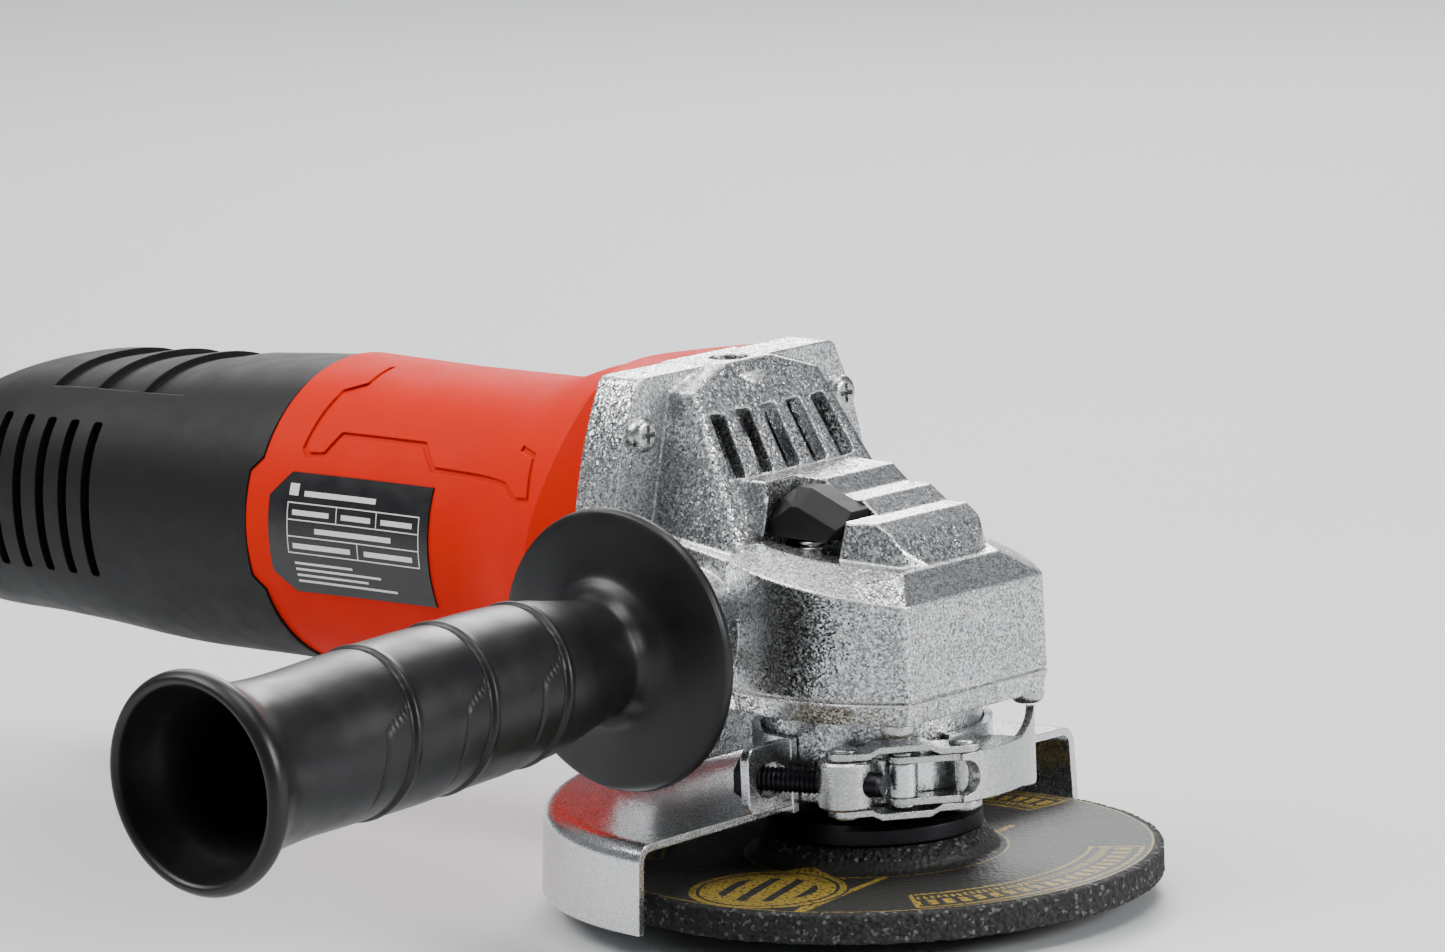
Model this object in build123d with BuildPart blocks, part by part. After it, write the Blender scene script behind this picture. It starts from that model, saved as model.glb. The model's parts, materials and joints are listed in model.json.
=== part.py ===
from build123d import *
from math import atan2, cos, degrees, hypot, pi, radians, sin
import os

os.makedirs("parts", exist_ok=True)

# A 115 mm angle grinder. Millimetres. The origin is the centre of the spindle's free end:
# +X points to the nose, +Y to the tool's left and +Z up the spindle.

# ---------------------------------------------------------------- driving dimensions
disc_radius = 57.5
disc_thickness = 6.4
disc_top = 10.0  # top of the disc's flat ring
hub_rise = 4.6  # the depressed centre stands this much higher
hub_radius = 23.0
disc_bore = 11.1

spindle_thread = 7.0  # M14, at the free end
spindle_core = 6.4  # inside the nut and flanges
spindle_bearing_r = 6.0
flange_radius = 21.5
flange_seat = disc_top + hub_rise  # disc hub's upper face
neck_bottom = 23.0
neck_radius = 22.0
cover_bottom = 41.3
seam_z = 46.2  # joint between gear housing and bearing cover

motor_z = 66.5  # height of the motor's axis
flange_x = -43.0  # joint between gear housing and motor housing
ear_x = -32.7  # front of the corner ears
ear_top = 106.3
ear_half_width = 29.0
side_half_width = 39.0
nose_x = 28.4
nose_half_width = 21.0
side_bow = 28.8  # half width of the nose at its widest
nose_back = -34.0
deck_half_width = 19.3
deck_front = 22.0
edge_z, edge_slope = 69.8, 0.175  # top edge of the nose: height at X = 0 and fall per mm
deck_z, deck_slope = 72.5, 0.11  # deck inside that edge

gear_teeth, pinion_teeth = 36, 12
gear_pitch_r, pinion_pitch_r = 21.0, 7.0
tooth_inner = 15.6  # radius where the gear's teeth end inside

parting_x = -140.5  # joint between motor housing and rear covers
waist_r, waist_end_r = 32.3, 33.0  # motor housing behind its flare
wall = 2.4
body_end = -264.0

handle_x, handle_z = -19.3, 57.8
boss_face = 37.6  # distance of the handle bosses' faces from the centre plane
handle_tilt = Vector(0.05, -1, -0.03).normalized()
handle_thread = 4.0  # M8
top_hole_x, top_face = -35.0, 106.6

guard_radius = 67.2
guard_top = 22.6
guard_bottom = 5.0
guard_sheet = 1.6
guard_cut_x = -3.0


# stations along the motor's axis
front_shaft_r, core_shaft_r, rear_shaft_r, pinion_bore = 4.95, 5.0, 3.95, 3.0
rear_bearing_x, rear_bearing_r, rear_bearing_width, sleeve_r = -153.0, 11.0, 7.0, 13.0
shaft_steps = [  # from X, to X, radius
    (-156.0, -145.5, rear_shaft_r),
    (-145.5, -62.0, core_shaft_r),
    (-62.0, -33.0, front_shaft_r),
    (-33.0, -12.0, pinion_bore),
]
core_back, core_front, armature_r, armature_slots = -118.0, -68.0, 20.0, 12
commutator_back, commutator_front, commutator_r = -143.0, -127.0, 11.5
fan_back, fan_front, fan_r, fan_blades = -60.0, -49.0, 29.0, 14
stator_r, stator_bore, stator_flat = 29.4, 20.6, 27.6
spigot_end, spigot_r = -156.0, 28.7
brush_x, holder_x, holder_y, holder_top = -135.0, 11.0, 9.0, 30.0
slider_x, slider_travel = -100.0, 6.0

handle_hole_depth = 14.0
top_hole_depth = 12.0
cavity_radius = 24.5
lower_bearing_z, lower_bearing_r, lower_bearing_width = 26.0, 16.0, 10.0
gear_bottom, gear_web, gear_top = 48.0, 57.5, 59.5
bush_z, bush_r, bush_length = 63.0, 7.8, 8.5
hub_bottom = flange_seat - disc_thickness
nut_bottom, nut_radius = 2.7, 19.0
spanner_radius, spanner_hole_r = 15.0, 2.4
front_bearing_r, front_bearing_width = 15.0, 9.0
ear_screws = [(side * 29.7, motor_z + up * 28.9) for side in (-1, 1) for up in (-1, 1)]  # Y, Z
cover_screw_places = [(x, side * y) for x, y in ((23.9, 19.8), (-26.0, 23.0)) for side in (-1, 1)]
lock_place = (-2.4, -12.2)
lock_pin_r = 1.8
lock_floor = 71.6

fit = 0.05  # running clearance on radius
gap = 0.3  # free clearance between bodies

# clamp linkage, seen from above
pivot = Vector(20.6, -15.2)
link_pin = Vector(28.0, -5.5)
nut = Vector(14.0, -24.5)
ear_hole = Vector(-1.6, -29.6)
clamp_low, clamp_high = 24.5, 34.1  # lever flanges, outside faces
clamp_mid = (clamp_low + clamp_high) / 2
link_low, link_high, link_sheet = 23.0, 35.6, 1.3  # link plates at their ends, outside faces
lever_outer, lever_sheet, lever_flange = 32.3, 1.6, 1.3
lever_low, lever_top = 23.0, 38.0
band_inner, band_outer, band_bottom, band_top = 22.35, 24.0, 21.4, 36.4
tongue_low, tongue_high = 26.0, 32.6
pivot_pin_r, link_pin_r, trunnion_r = 1.9, 1.6, 1.8
barrel_r, bolt_r = 5.4, 2.5
cord_hole_r = 5.0


# ---------------------------------------------------------------- shared shapes
def tilted(height, slope):
    """A plane that falls towards the nose, crossing the spindle's axis at a height."""
    return Plane(origin=(0, 0, height), x_dir=(1, 0, -slope), z_dir=(slope, 0, 1))


def nose_outline(plane, front, front_half, bow, back_half, back=nose_back):
    """Plan of the nose: flat front, bowed sides, straight run to the back."""
    with BuildSketch(plane) as outline:
        with BuildLine():
            Line((front, front_half), (front, -front_half))
            ThreePointArc((front, -front_half), (front * 0.42, -bow), (-12, -bow + 0.4))
            Line((-12, -bow + 0.4), (back, -back_half))
            Line((back, -back_half), (back, back_half))
            Line((back, back_half), (-12, bow - 0.4))
            ThreePointArc((-12, bow - 0.4), (front * 0.42, bow), (front, front_half))
        make_face()
    return outline.sketch


def flange_outline(plane, inset=0.0, corner=2.5):
    """The four-eared joint face between gear housing and motor housing."""
    half_y, half_z = ear_half_width - inset, ear_top - motor_z - inset
    with BuildSketch(plane) as outline:
        with BuildLine():
            Line((-half_y, motor_z + half_z), (half_y, motor_z + half_z))
            ThreePointArc(
                (half_y, motor_z + half_z),
                (side_half_width - inset, motor_z),
                (half_y, motor_z - half_z),
            )
            Line((half_y, motor_z - half_z), (-half_y, motor_z - half_z))
            ThreePointArc(
                (-half_y, motor_z - half_z),
                (-side_half_width + inset, motor_z),
                (-half_y, motor_z + half_z),
            )
        make_face()
        fillet(outline.vertices(), corner)
    return outline.sketch


def oval(x, half_y, half_z, centre_z, power):
    """A superellipse across the body at X; power 2 is an ellipse, more is squarer."""
    count = 12
    points = []
    for i in range(count):
        turn = 2 * pi * i / count
        c, s = cos(turn), sin(turn)
        y = half_y * abs(c) ** (2 / power) * (1 if c >= 0 else -1)
        z = half_z * abs(s) ** (2 / power) * (1 if s >= 0 else -1)
        points.append((y, centre_z + z))
    with BuildSketch(Plane.YZ.offset(x)) as section:
        with BuildLine():
            Spline(*points, periodic=True)
        make_face()
    return section.sketch


# stations of the rear casing: X, half width, half height, centre height, power
rear_stations = [
    (parting_x, 33.2, 32.8, 66.2, 2.1),
    (-151.0, 33.15, 32.3, 66.0, 2.15),
    (-163.0, 33.1, 31.9, 65.6, 2.2),
    (-176.0, 33.0, 31.4, 65.2, 2.27),
    (-189.0, 33.05, 30.8, 65.2, 2.3),
    (-202.0, 33.15, 30.0, 65.5, 2.33),
    (-215.0, 33.2, 29.2, 65.5, 2.35),
    (-227.0, 33.0, 28.3, 65.0, 2.35),
    (-237.0, 32.3, 27.1, 63.8, 2.32),
    (-246.0, 30.7, 25.3, 62.5, 2.3),
    (-254.0, 27.8, 22.7, 61.3, 2.3),
    (-260.0, 24.0, 19.6, 60.6, 2.3),
    (body_end, 18.5, 14.8, 60.2, 2.3),
]


def casing(stations, grow=0.0):
    """A smooth solid through the stations, with every section made larger by grow."""
    sections = [oval(x, half_y + grow, half_z + grow, z, power) for x, half_y, half_z, z, power in stations]
    with BuildPart() as solid:
        loft(sections)
    return solid.part


def casing_section(x, grow):
    """The casing's section at an X between the stations."""
    front, back = next(
        pair for pair in zip(rear_stations, rear_stations[1:]) if pair[1][0] <= x <= pair[0][0])
    share = (front[0] - x) / (front[0] - back[0])
    _, half_y, half_z, z, power = [a + share * (b - a) for a, b in zip(front, back)]
    return oval(x, half_y + grow, half_z + grow, z, power)


def motor_barrel(grow=0.0):
    """The turned body of the motor housing: a straight waist that flares towards the gear housing."""
    with BuildPart() as solid:
        with BuildSketch(Plane.XZ):
            with BuildLine():
                Spline(
                    (flange_x, 48.0 + grow), (-50.0, 42.6 + grow), (-57.0, 38.4 + grow), (-65.0, 36.2 + grow),
                    (-72.0, 33.9 + grow), (-82.0, waist_r + grow), tangents=[(-1, -0.6), (-1, -0.02)],
                )
                Polyline(
                    (-82.0, waist_r + grow), (-112.0, waist_r + grow), (parting_x, waist_end_r + grow),
                    (parting_x, 0), (flange_x, 0), (flange_x, 48.0 + grow),
                )
            make_face()
        revolve(axis=Axis.X)
    return solid.part.locate(Location((0, 0, motor_z)))


def motor_body(grow=0.0):
    """The turned body trimmed to the flange's outline."""
    outline = flange_outline(Plane.YZ.offset(parting_x), 1.0 - grow, 5.0)
    with BuildPart() as solid:
        add(motor_barrel(grow))
        extrude(outline, amount=flange_x - parting_x, mode=Mode.INTERSECT)
    return solid.part


def ring(plane, outer, inner, length):
    """A plain ring that rises from a plane."""
    with BuildPart() as solid:
        with BuildSketch(plane):
            Circle(outer)
            Circle(inner, mode=Mode.SUBTRACT)
        extrude(amount=length)
    return solid.part


def ball_bearing(plane, bore, outer, width, balls):
    """Two races and their balls, as separate solids."""
    mid = (bore + outer) / 2
    race = (outer - bore) * 0.3
    ball = (outer - bore) * 0.2 - 0.05
    pieces = [ring(plane, outer, outer - race, width), ring(plane, bore + race, bore, width)]
    for place in PolarLocations(mid, balls):
        with BuildPart(plane.offset(width / 2) * place) as one:
            Sphere(ball)
        pieces.append(one.part)
    return pieces


def pan_screw(plane, head_r, head_h, shank_r, shank_length):
    """A cross-recessed pan-head screw: the head stands up from the plane, the shank goes below it."""
    with BuildPart() as screw:
        with BuildSketch(plane):
            Circle(head_r)
        extrude(amount=head_h)
        fillet(screw.faces().sort_by(Axis(plane.origin, plane.z_dir))[-1].edges(), head_h * 0.62)
        with BuildSketch(plane.offset(head_h)):
            Rectangle(head_r * 1.1, head_r * 0.26)
            Rectangle(head_r * 0.26, head_r * 1.1)
        extrude(amount=-head_h * 0.62, mode=Mode.SUBTRACT)
        with BuildSketch(plane):
            Circle(shank_r)
        extrude(amount=-shank_length)
    return screw.part


def coil_spring(plane, radius, wire, length, turns):
    """A helical compression spring of round wire that rises from a plane."""
    path = Helix(pitch=(length - 2 * wire) / turns, height=length - 2 * wire, radius=radius)
    with BuildPart() as spring:
        with BuildSketch(Plane(origin=path @ 0, z_dir=path % 0)):
            Circle(wire)
        sweep(path=path, is_frenet=True)
    return spring.part.locate(plane.offset(wire).location)


# ---------------------------------------------------------------- gear housing
edge_plane = tilted(edge_z, edge_slope)
deck_plane = tilted(deck_z, deck_slope)
nose_top = nose_outline(edge_plane, nose_x, nose_half_width, side_bow, 28.4)
nose_deck = nose_outline(deck_plane, deck_front, 14.5, deck_half_width, deck_half_width)
boss_planes = [
    Plane(origin=(handle_x, -boss_face, handle_z), z_dir=handle_tilt),
    Plane(origin=(handle_x, boss_face, handle_z), z_dir=(handle_tilt.X, -handle_tilt.Y, handle_tilt.Z)),
]
vent_top, vent_bottom = Vector(-29.9, 0, 106.6), Vector(-10.5, 0, 71.8)
vent_lean = (vent_bottom - vent_top).normalized()
vent_plane = Plane(origin=(-21.9, 0, 91.75), x_dir=(0, 1, 0), z_dir=(-vent_lean.Z, 0, vent_lean.X))

with BuildPart() as hump_block:
    with BuildSketch(Plane.XY.offset(66)):
        with BuildLine():
            Polyline((-22, -19), (8, -17.4), (19.8, -12.4), (22.8, -3.4), (22.8, 6), (19.0, 16.6), (-22, 19), close=True)
        make_face()
    extrude(amount=20, taper=9)
    fillet(hump_block.faces().filter_by(Axis.Z, reverse=True).edges().filter_by(
        lambda e: abs(e.tangent_at(0.5).Z) > 0.8 and e.center().X > 0), 3.5)
    with BuildSketch(Plane.XZ.offset(-30)):
        with BuildLine():
            Polyline(
                (-22, 60), (-22, 85.5), (-5.4, 85.3), (-1.4, 81.9), (4.4, 82.0), (8.8, 78.8),
                (13.6, 79.0), (17.2, 76.4), (24, 66.0), (24, 60), close=True,
            )
        make_face()
    extrude(amount=60, mode=Mode.INTERSECT)

def dome_level(height, front, front_half, back_half):
    """One level of the dome behind the hump, with its front corners rounded."""
    with BuildSketch(Plane.XY.offset(height)) as level:
        Polygon((flange_x, back_half), (front, front_half), (front, -front_half), (flange_x, -back_half), align=None)
        fillet(level.vertices().group_by(Axis.X)[-1], 2.5)
    return level.sketch


with BuildPart() as dome_block:
    loft(
        [
            dome_level(70, -9.5, 26.5, 29.3),
            dome_level(top_face - 4.0, -27.7, 19.8, 21.5),
            dome_level(top_face, -30.0, 7.5, 10.5),
        ],
        ruled=True,
    )

with BuildPart() as air_duct:
    with BuildSketch(Plane.XY.offset(84.5)):
        Polygon((flange_x, 21), (-21.2, 20), (-21.2, -20), (flange_x, -21), align=None)
    with BuildSketch(Plane.XY.offset(100.8)):
        Polygon((flange_x, 15.5), (-30.4, 15.5), (-30.4, -15.5), (flange_x, -15.5), align=None)
    loft(ruled=True)

with BuildPart() as gear_housing:
    loft([nose_outline(Plane.XY.offset(seam_z), nose_x, nose_half_width, side_bow, 28.4), nose_top], ruled=True)
    loft([nose_top, nose_deck], ruled=True)
    corners = gear_housing.edges().filter_by(
        lambda e: e.center().X > nose_x - 2 and abs(e.tangent_at(0.5).Z) > 0.8)
    fillet(corners, 2.0)
    add(hump_block.part)
    add(dome_block.part)
    add(extrude(flange_outline(Plane.YZ.offset(flange_x)), amount=ear_x - flange_x, mode=Mode.PRIVATE))
    for face in boss_planes:
        with BuildSketch(face):
            Circle(11.5)
        extrude(amount=-14)
    # room for the gears, the front bearing and the cooling air
    with BuildSketch(Plane.XY.offset(seam_z)):
        Circle(cavity_radius)
    extrude(amount=15.8, mode=Mode.SUBTRACT)
    with BuildSketch(Plane.YZ.offset(flange_x)):
        with Locations((0, motor_z)):
            Circle(11.5)
    extrude(amount=34, mode=Mode.SUBTRACT)
    with BuildSketch(Plane.YZ.offset(flange_x)):
        with Locations((0, motor_z)):
            Circle(front_bearing_r)
    extrude(amount=front_bearing_width, mode=Mode.SUBTRACT)
    add(air_duct.part, mode=Mode.SUBTRACT)
    with BuildSketch(Plane.XY.offset(84)):
        with Locations((top_hole_x, 0)):
            Circle(7.5)
    extrude(amount=20)
    # cooling slots, fanned slightly
    for k in range(-2, 3):
        with BuildSketch(vent_plane):
            with Locations(Location((7.8 * k, 0, 0), (0, 0, 3.0 * k))):
                RectangleRounded(4.3, 14.0, 0.8)
        extrude(amount=6, both=True, mode=Mode.SUBTRACT)
    # pocket for the lock button, open to the right
    with BuildSketch(deck_plane):
        with Locations((-2.4, -19)):
            Rectangle(19.8, 26)
    extrude(amount=22, mode=Mode.SUBTRACT)
    with BuildSketch(Plane.XY.offset(lock_floor)):
        with Locations((-2.4, -10.9)):
            Rectangle(19.6, 9.8)
    extrude(amount=22, mode=Mode.SUBTRACT)
    with BuildSketch(Plane.XY.offset(58)):
        with Locations(lock_place):
            Circle(lock_pin_r + fit)
    extrude(amount=18, mode=Mode.SUBTRACT)
    # upper spindle bush
    with BuildSketch(Plane.XY.offset(60)):
        Circle(bush_r)
    extrude(amount=bush_z + bush_length - 60, mode=Mode.SUBTRACT)
    # fixing holes: ears, cover, handle positions
    with BuildSketch(Plane.YZ.offset(flange_x)):
        with Locations(*ear_screws):
            Circle(2.2)
    extrude(amount=12, mode=Mode.SUBTRACT)
    with BuildSketch(Plane.XY.offset(seam_z)):
        with Locations(*cover_screw_places):
            Circle(1.8)
    extrude(amount=8, mode=Mode.SUBTRACT)
    for face in boss_planes:
        with BuildSketch(face):
            Circle(handle_thread)
        extrude(amount=-handle_hole_depth, mode=Mode.SUBTRACT)
    with BuildSketch(Plane.XY.offset(top_face)):
        with Locations((top_hole_x, 0)):
            Circle(handle_thread)
    extrude(amount=-top_hole_depth, mode=Mode.SUBTRACT)
gear_housing.part.label = "gear_housing"
export_step(gear_housing.part, "parts/gear_housing.step")

# ---------------------------------------------------------------- bearing cover and its screws
cover_back = ear_x + 0.3
with BuildPart() as bearing_cover:
    loft(
        [
            nose_outline(Plane.XY.offset(seam_z - 0.5), nose_x, nose_half_width, side_bow, 28.4, cover_back),
            nose_outline(Plane.XY.offset(cover_bottom), nose_x - 1, nose_half_width - 0.6, 26.8, 26.4, cover_back),
        ],
        ruled=True,
    )
    with BuildSketch(Plane.XY.offset(seam_z)):
        add(nose_outline(Plane.XY, nose_x - 0.6, nose_half_width - 0.6, side_bow - 0.6, 27.8, cover_back))
    extrude(amount=-0.5)
    with BuildSketch(Plane.XY.offset(neck_bottom)):
        Circle(neck_radius)
    extrude(amount=cover_bottom - neck_bottom + 1)
    chamfer(bearing_cover.faces().sort_by(Axis.Z)[0].edges(), 0.8)
    with BuildSketch(Plane.XY.offset(neck_bottom)):
        Circle(12)
    extrude(amount=30, mode=Mode.SUBTRACT)
    with BuildSketch(Plane.XY.offset(lower_bearing_z)):
        Circle(lower_bearing_r)
    extrude(amount=30, mode=Mode.SUBTRACT)
    with BuildSketch(Plane.XY.offset(lower_bearing_z + lower_bearing_width)):
        Circle(cavity_radius - 5)
    extrude(amount=30, mode=Mode.SUBTRACT)
    with BuildSketch(Plane.XY.offset(cover_bottom)):
        with Locations(*cover_screw_places):
            Circle(1.8)
    extrude(amount=10, mode=Mode.SUBTRACT)
bearing_cover.part.label = "bearing_cover"
export_step(bearing_cover.part, "parts/bearing_cover.step")

cover_screws = Compound(
    label="cover_screws",
    children=[
        pan_screw(Plane(origin=(x, y, cover_bottom), z_dir=(0, 0, -1)), 3.4, 2.6, 1.8, 12.5)
        for x, y in cover_screw_places
    ],
)
export_step(cover_screws, "parts/cover_screws.step")

housing_screws = Compound(
    label="housing_screws",
    children=[
        pan_screw(Plane(origin=(ear_x, y, z), z_dir=(1, 0, 0)), 3.6, 2.8, 2.2, 14.5) for y, z in ear_screws
    ],
)
export_step(housing_screws, "parts/housing_screws.step")

# ---------------------------------------------------------------- spindle lock
button_low, button_high = 74.6, 84.4
with BuildPart() as lock_button:
    with BuildSketch(Plane.XZ.offset(6.6)):
        with BuildLine():
            Polyline((-11.8, button_low), (-11.8, button_high - 3), (-7, button_high), (-3.6, button_high),
                     (6.8, 80.4), (6.8, 78.2), (3.0, button_low), close=True)
        make_face()
    extrude(amount=8.6)
    outer_top = lock_button.faces().sort_by(Axis.Y)[0].edges().filter_by(
        lambda e: e.center().Z > 80.5 and e.center().X < 3)
    chamfer(outer_top, 3.6, 3.4)
    with BuildSketch(Plane.XY.offset(button_low)):
        with Locations(lock_place):
            Circle(2.2)
    extrude(amount=-0.6)
lock_button.part.label = "lock_button"
export_step(lock_button.part, "parts/lock_button.step")

with BuildPart() as lock_pin:
    with BuildSketch(Plane.XY.offset(gear_web + 0.9)):
        with Locations(lock_place):
            Circle(lock_pin_r)
    extrude(amount=button_low - 0.6 - gear_web - 0.9)
    chamfer(lock_pin.faces().sort_by(Axis.Z)[0].edges(), 0.4)
lock_pin.part.label = "lock_pin"
export_step(lock_pin.part, "parts/lock_pin.step")

lock_spring = coil_spring(Plane(origin=(*lock_place, lock_floor)), 2.9, 0.3, button_low - lock_floor - 0.1, 2)
lock_spring.label = "lock_spring"
export_step(lock_spring, "parts/lock_spring.step")

# ---------------------------------------------------------------- spindle, gears and disc
with BuildPart() as spindle:
    with BuildSketch(Plane.XZ):
        with BuildLine():
            Polyline(
                (0, 0), (spindle_thread, 0), (spindle_thread, nut_bottom - 0.1),
                (spindle_core, nut_bottom), (spindle_core, neck_bottom), (8.5, neck_bottom),
                (8.5, lower_bearing_z), (spindle_bearing_r - fit, lower_bearing_z),
                (spindle_bearing_r - fit, gear_bottom), (spindle_bearing_r, gear_bottom),
                (spindle_bearing_r, gear_top + 1.6), (spindle_bearing_r - 1 - fit, gear_top + 1.6),
                (spindle_bearing_r - 1 - fit, bush_z + bush_length - 0.5), (0, bush_z + bush_length - 0.5), close=True,
            )
        make_face()
    revolve(axis=Axis.Z)
spindle.part.label = "spindle"
export_step(spindle.part, "parts/spindle.step")

spindle_bearing = Compound(
    label="spindle_bearing",
    children=ball_bearing(
        Plane.XY.offset(lower_bearing_z), spindle_bearing_r, lower_bearing_r, lower_bearing_width, 8),
)
export_step(spindle_bearing, "parts/spindle_bearing.step")

spindle_bush = ring(Plane.XY.offset(bush_z), bush_r, 5, bush_length)
spindle_bush.label = "spindle_bush"
export_step(spindle_bush, "parts/spindle_bush.step")


def bevel_tooth(pitch_r, axial):
    """One straight bevel tooth of a gear around Z, with the cones' common apex at the origin."""
    slant = hypot(pitch_r, axial)
    along = Vector(pitch_r / slant, 0, -axial / slant)
    module = 2 * gear_pitch_r / gear_teeth
    sections = []
    for share in (1.0, tooth_inner / gear_pitch_r):
        tip, root = 0.8 * module * share, -1.1 * module * share
        half = pi * module * share * 0.2
        flank = 0.364
        with BuildSketch(Plane(origin=along * slant * share, x_dir=(0, 1, 0), z_dir=along)) as level:
            Polygon(
                (half - root * flank, root), (half - tip * flank, tip),
                (tip * flank - half, tip), (root * flank - half, root), align=None,
            )
        sections.append(level.sketch)
    with BuildPart() as tooth:
        loft(sections, ruled=True)
    return tooth.part


gear_tooth = bevel_tooth(gear_pitch_r, pinion_pitch_r)
with BuildPart() as bevel_gear:
    with BuildSketch(Plane.XZ):
        with BuildLine():
            Polyline(
                (spindle_bearing_r, gear_bottom - motor_z), (17, gear_bottom - motor_z), (21.3, -10.5),
                (20.8, -8.1), (15.4, -6.1), (14.95, gear_web - motor_z), (9.2, gear_web - motor_z),
                (9.2, gear_top - motor_z), (spindle_bearing_r, gear_top - motor_z), close=True,
            )
        make_face()
    revolve(axis=Axis.Z)
    with PolarLocations(0, gear_teeth):
        add(gear_tooth)
    # holes that the lock pin drops into
    lock_radius, lock_angle = hypot(*lock_place), degrees(atan2(lock_place[1], lock_place[0]))
    with BuildSketch(Plane.XY.offset(gear_bottom - motor_z)):
        with PolarLocations(lock_radius, 6, start_angle=lock_angle):
            Circle(lock_pin_r + 0.4)
    extrude(amount=gear_web - gear_bottom + 1, mode=Mode.SUBTRACT)
bevel_gear.part.locate(Location((0, 0, motor_z)))
bevel_gear.part.label = "bevel_gear"
export_step(bevel_gear.part, "parts/bevel_gear.step")

gear_clip = ring(Plane.XY.offset(gear_top + 0.1), 7.6, spindle_bearing_r, 1.1)
gear_clip.label = "gear_clip"
export_step(gear_clip, "parts/gear_clip.step")

with BuildPart() as inner_flange:
    with BuildSketch(Plane.XZ):
        with BuildLine():
            Polyline(
                (spindle_core, flange_seat - 3.4), (disc_bore - fit, flange_seat - 3.4), (disc_bore - fit, flange_seat),
                (flange_radius - 0.6, flange_seat), (flange_radius, flange_seat + 0.6),
                (flange_radius, flange_seat + 3.4), (flange_radius - 1, flange_seat + 4.4),
                (14, flange_seat + 5.4), (11.4, neck_bottom - gap), (spindle_core, neck_bottom - gap), close=True,
            )
        make_face()
    revolve(axis=Axis.Z)
inner_flange.part.label = "inner_flange"
export_step(inner_flange.part, "parts/inner_flange.step")

with BuildPart() as outer_nut:
    with BuildSketch(Plane.XY.offset(nut_bottom)):
        Circle(nut_radius)
    extrude(amount=hub_bottom - nut_bottom)
    chamfer(outer_nut.faces().sort_by(Axis.Z)[0].edges(), 1.0)
    with BuildSketch(Plane.XY.offset(hub_bottom)):
        Circle(disc_bore - fit)
    extrude(amount=2.0)
    with BuildSketch(Plane.XY.offset(nut_bottom)):
        Circle(spindle_core)
    extrude(amount=10, mode=Mode.SUBTRACT)
    with BuildSketch(Plane.XY.offset(nut_bottom)):
        with PolarLocations(spanner_radius, 4):
            Circle(spanner_hole_r)
    extrude(amount=4.0, mode=Mode.SUBTRACT)
outer_nut.part.label = "outer_nut"
export_step(outer_nut.part, "parts/outer_nut.step")

with BuildPart() as grinding_disc:
    with BuildSketch(Plane.XZ):
        with BuildLine():
            Polyline(
                (disc_bore, hub_bottom), (hub_radius - 2.5, hub_bottom), (hub_radius + 4.5, disc_top - disc_thickness),
                (disc_radius, disc_top - disc_thickness), (disc_radius, disc_top), (hub_radius + 2.5, disc_top),
                (hub_radius - 1.5, flange_seat), (disc_bore, flange_seat), close=True,
            )
        make_face()
    revolve(axis=Axis.Z)
    bends = grinding_disc.edges().filter_by(GeomType.CIRCLE).filter_by(lambda e: 19 < e.radius < 28)
    fillet(bends, 2.0)
grinding_disc.part.label = "grinding_disc"
export_step(grinding_disc.part, "parts/grinding_disc.step")

# ---------------------------------------------------------------- armature and its bearings
def shaft_plane(x):
    """A plane across the motor's axis at X, facing the nose."""
    return Plane(origin=(x, 0, motor_z), x_dir=(0, 1, 0), z_dir=(1, 0, 0))


with BuildPart() as pinion:
    with BuildSketch(Plane.XZ):
        with BuildLine():
            Polyline(
                (pinion_bore, -24.6), (6.0, -24.6), (6.0, -21.5), (4.5, -15.9), (pinion_bore, -15.6), close=True,
            )
        make_face()
    revolve(axis=Axis.Z)
    half_tooth = 180 / pinion_teeth
    with PolarLocations(0, pinion_teeth, start_angle=half_tooth):
        add(bevel_tooth(pinion_pitch_r, gear_pitch_r))
pinion.part.locate(Location((0, 0, motor_z), (0, 90, 0)))
pinion.part.label = "pinion"
export_step(pinion.part, "parts/pinion.step")

with BuildPart() as pinion_nut:
    with BuildSketch(shaft_plane(-15.4)):
        RegularPolygon(4.0, 6)
        Circle(pinion_bore, mode=Mode.SUBTRACT)
    extrude(amount=2.6)
pinion_nut.part.label = "pinion_nut"
export_step(pinion_nut.part, "parts/pinion_nut.step")

with BuildPart() as armature_shaft:
    for start, stop, radius in shaft_steps:
        with BuildSketch(shaft_plane(start)):
            Circle(radius)
        extrude(amount=stop - start)
armature_shaft.part.label = "armature_shaft"
export_step(armature_shaft.part, "parts/armature_shaft.step")

with BuildPart() as armature_core:
    with BuildSketch(shaft_plane(core_back)):
        Circle(armature_r)
        Circle(core_shaft_r, mode=Mode.SUBTRACT)
        with PolarLocations(armature_r - 2.5, armature_slots):
            Rectangle(6, 1.6, mode=Mode.SUBTRACT)
    extrude(amount=core_front - core_back)
armature_core.part.label = "armature_core"
export_step(armature_core.part, "parts/armature_core.step")

with BuildPart() as armature_winding:
    for x, side in ((core_front + 3, 1), (core_back - 3, -1)):
        with BuildSketch(shaft_plane(x - 3)):
            Circle(armature_r - 1.2)
            Circle(core_shaft_r, mode=Mode.SUBTRACT)
        extrude(amount=6)
    ends = armature_winding.edges().filter_by(GeomType.CIRCLE).filter_by(lambda e: e.radius > 15 and (
        e.center().X > core_front + 5 or e.center().X < core_back - 5))
    fillet(ends, 2.5)
armature_winding.part.label = "armature_winding"
export_step(armature_winding.part, "parts/armature_winding.step")

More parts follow.
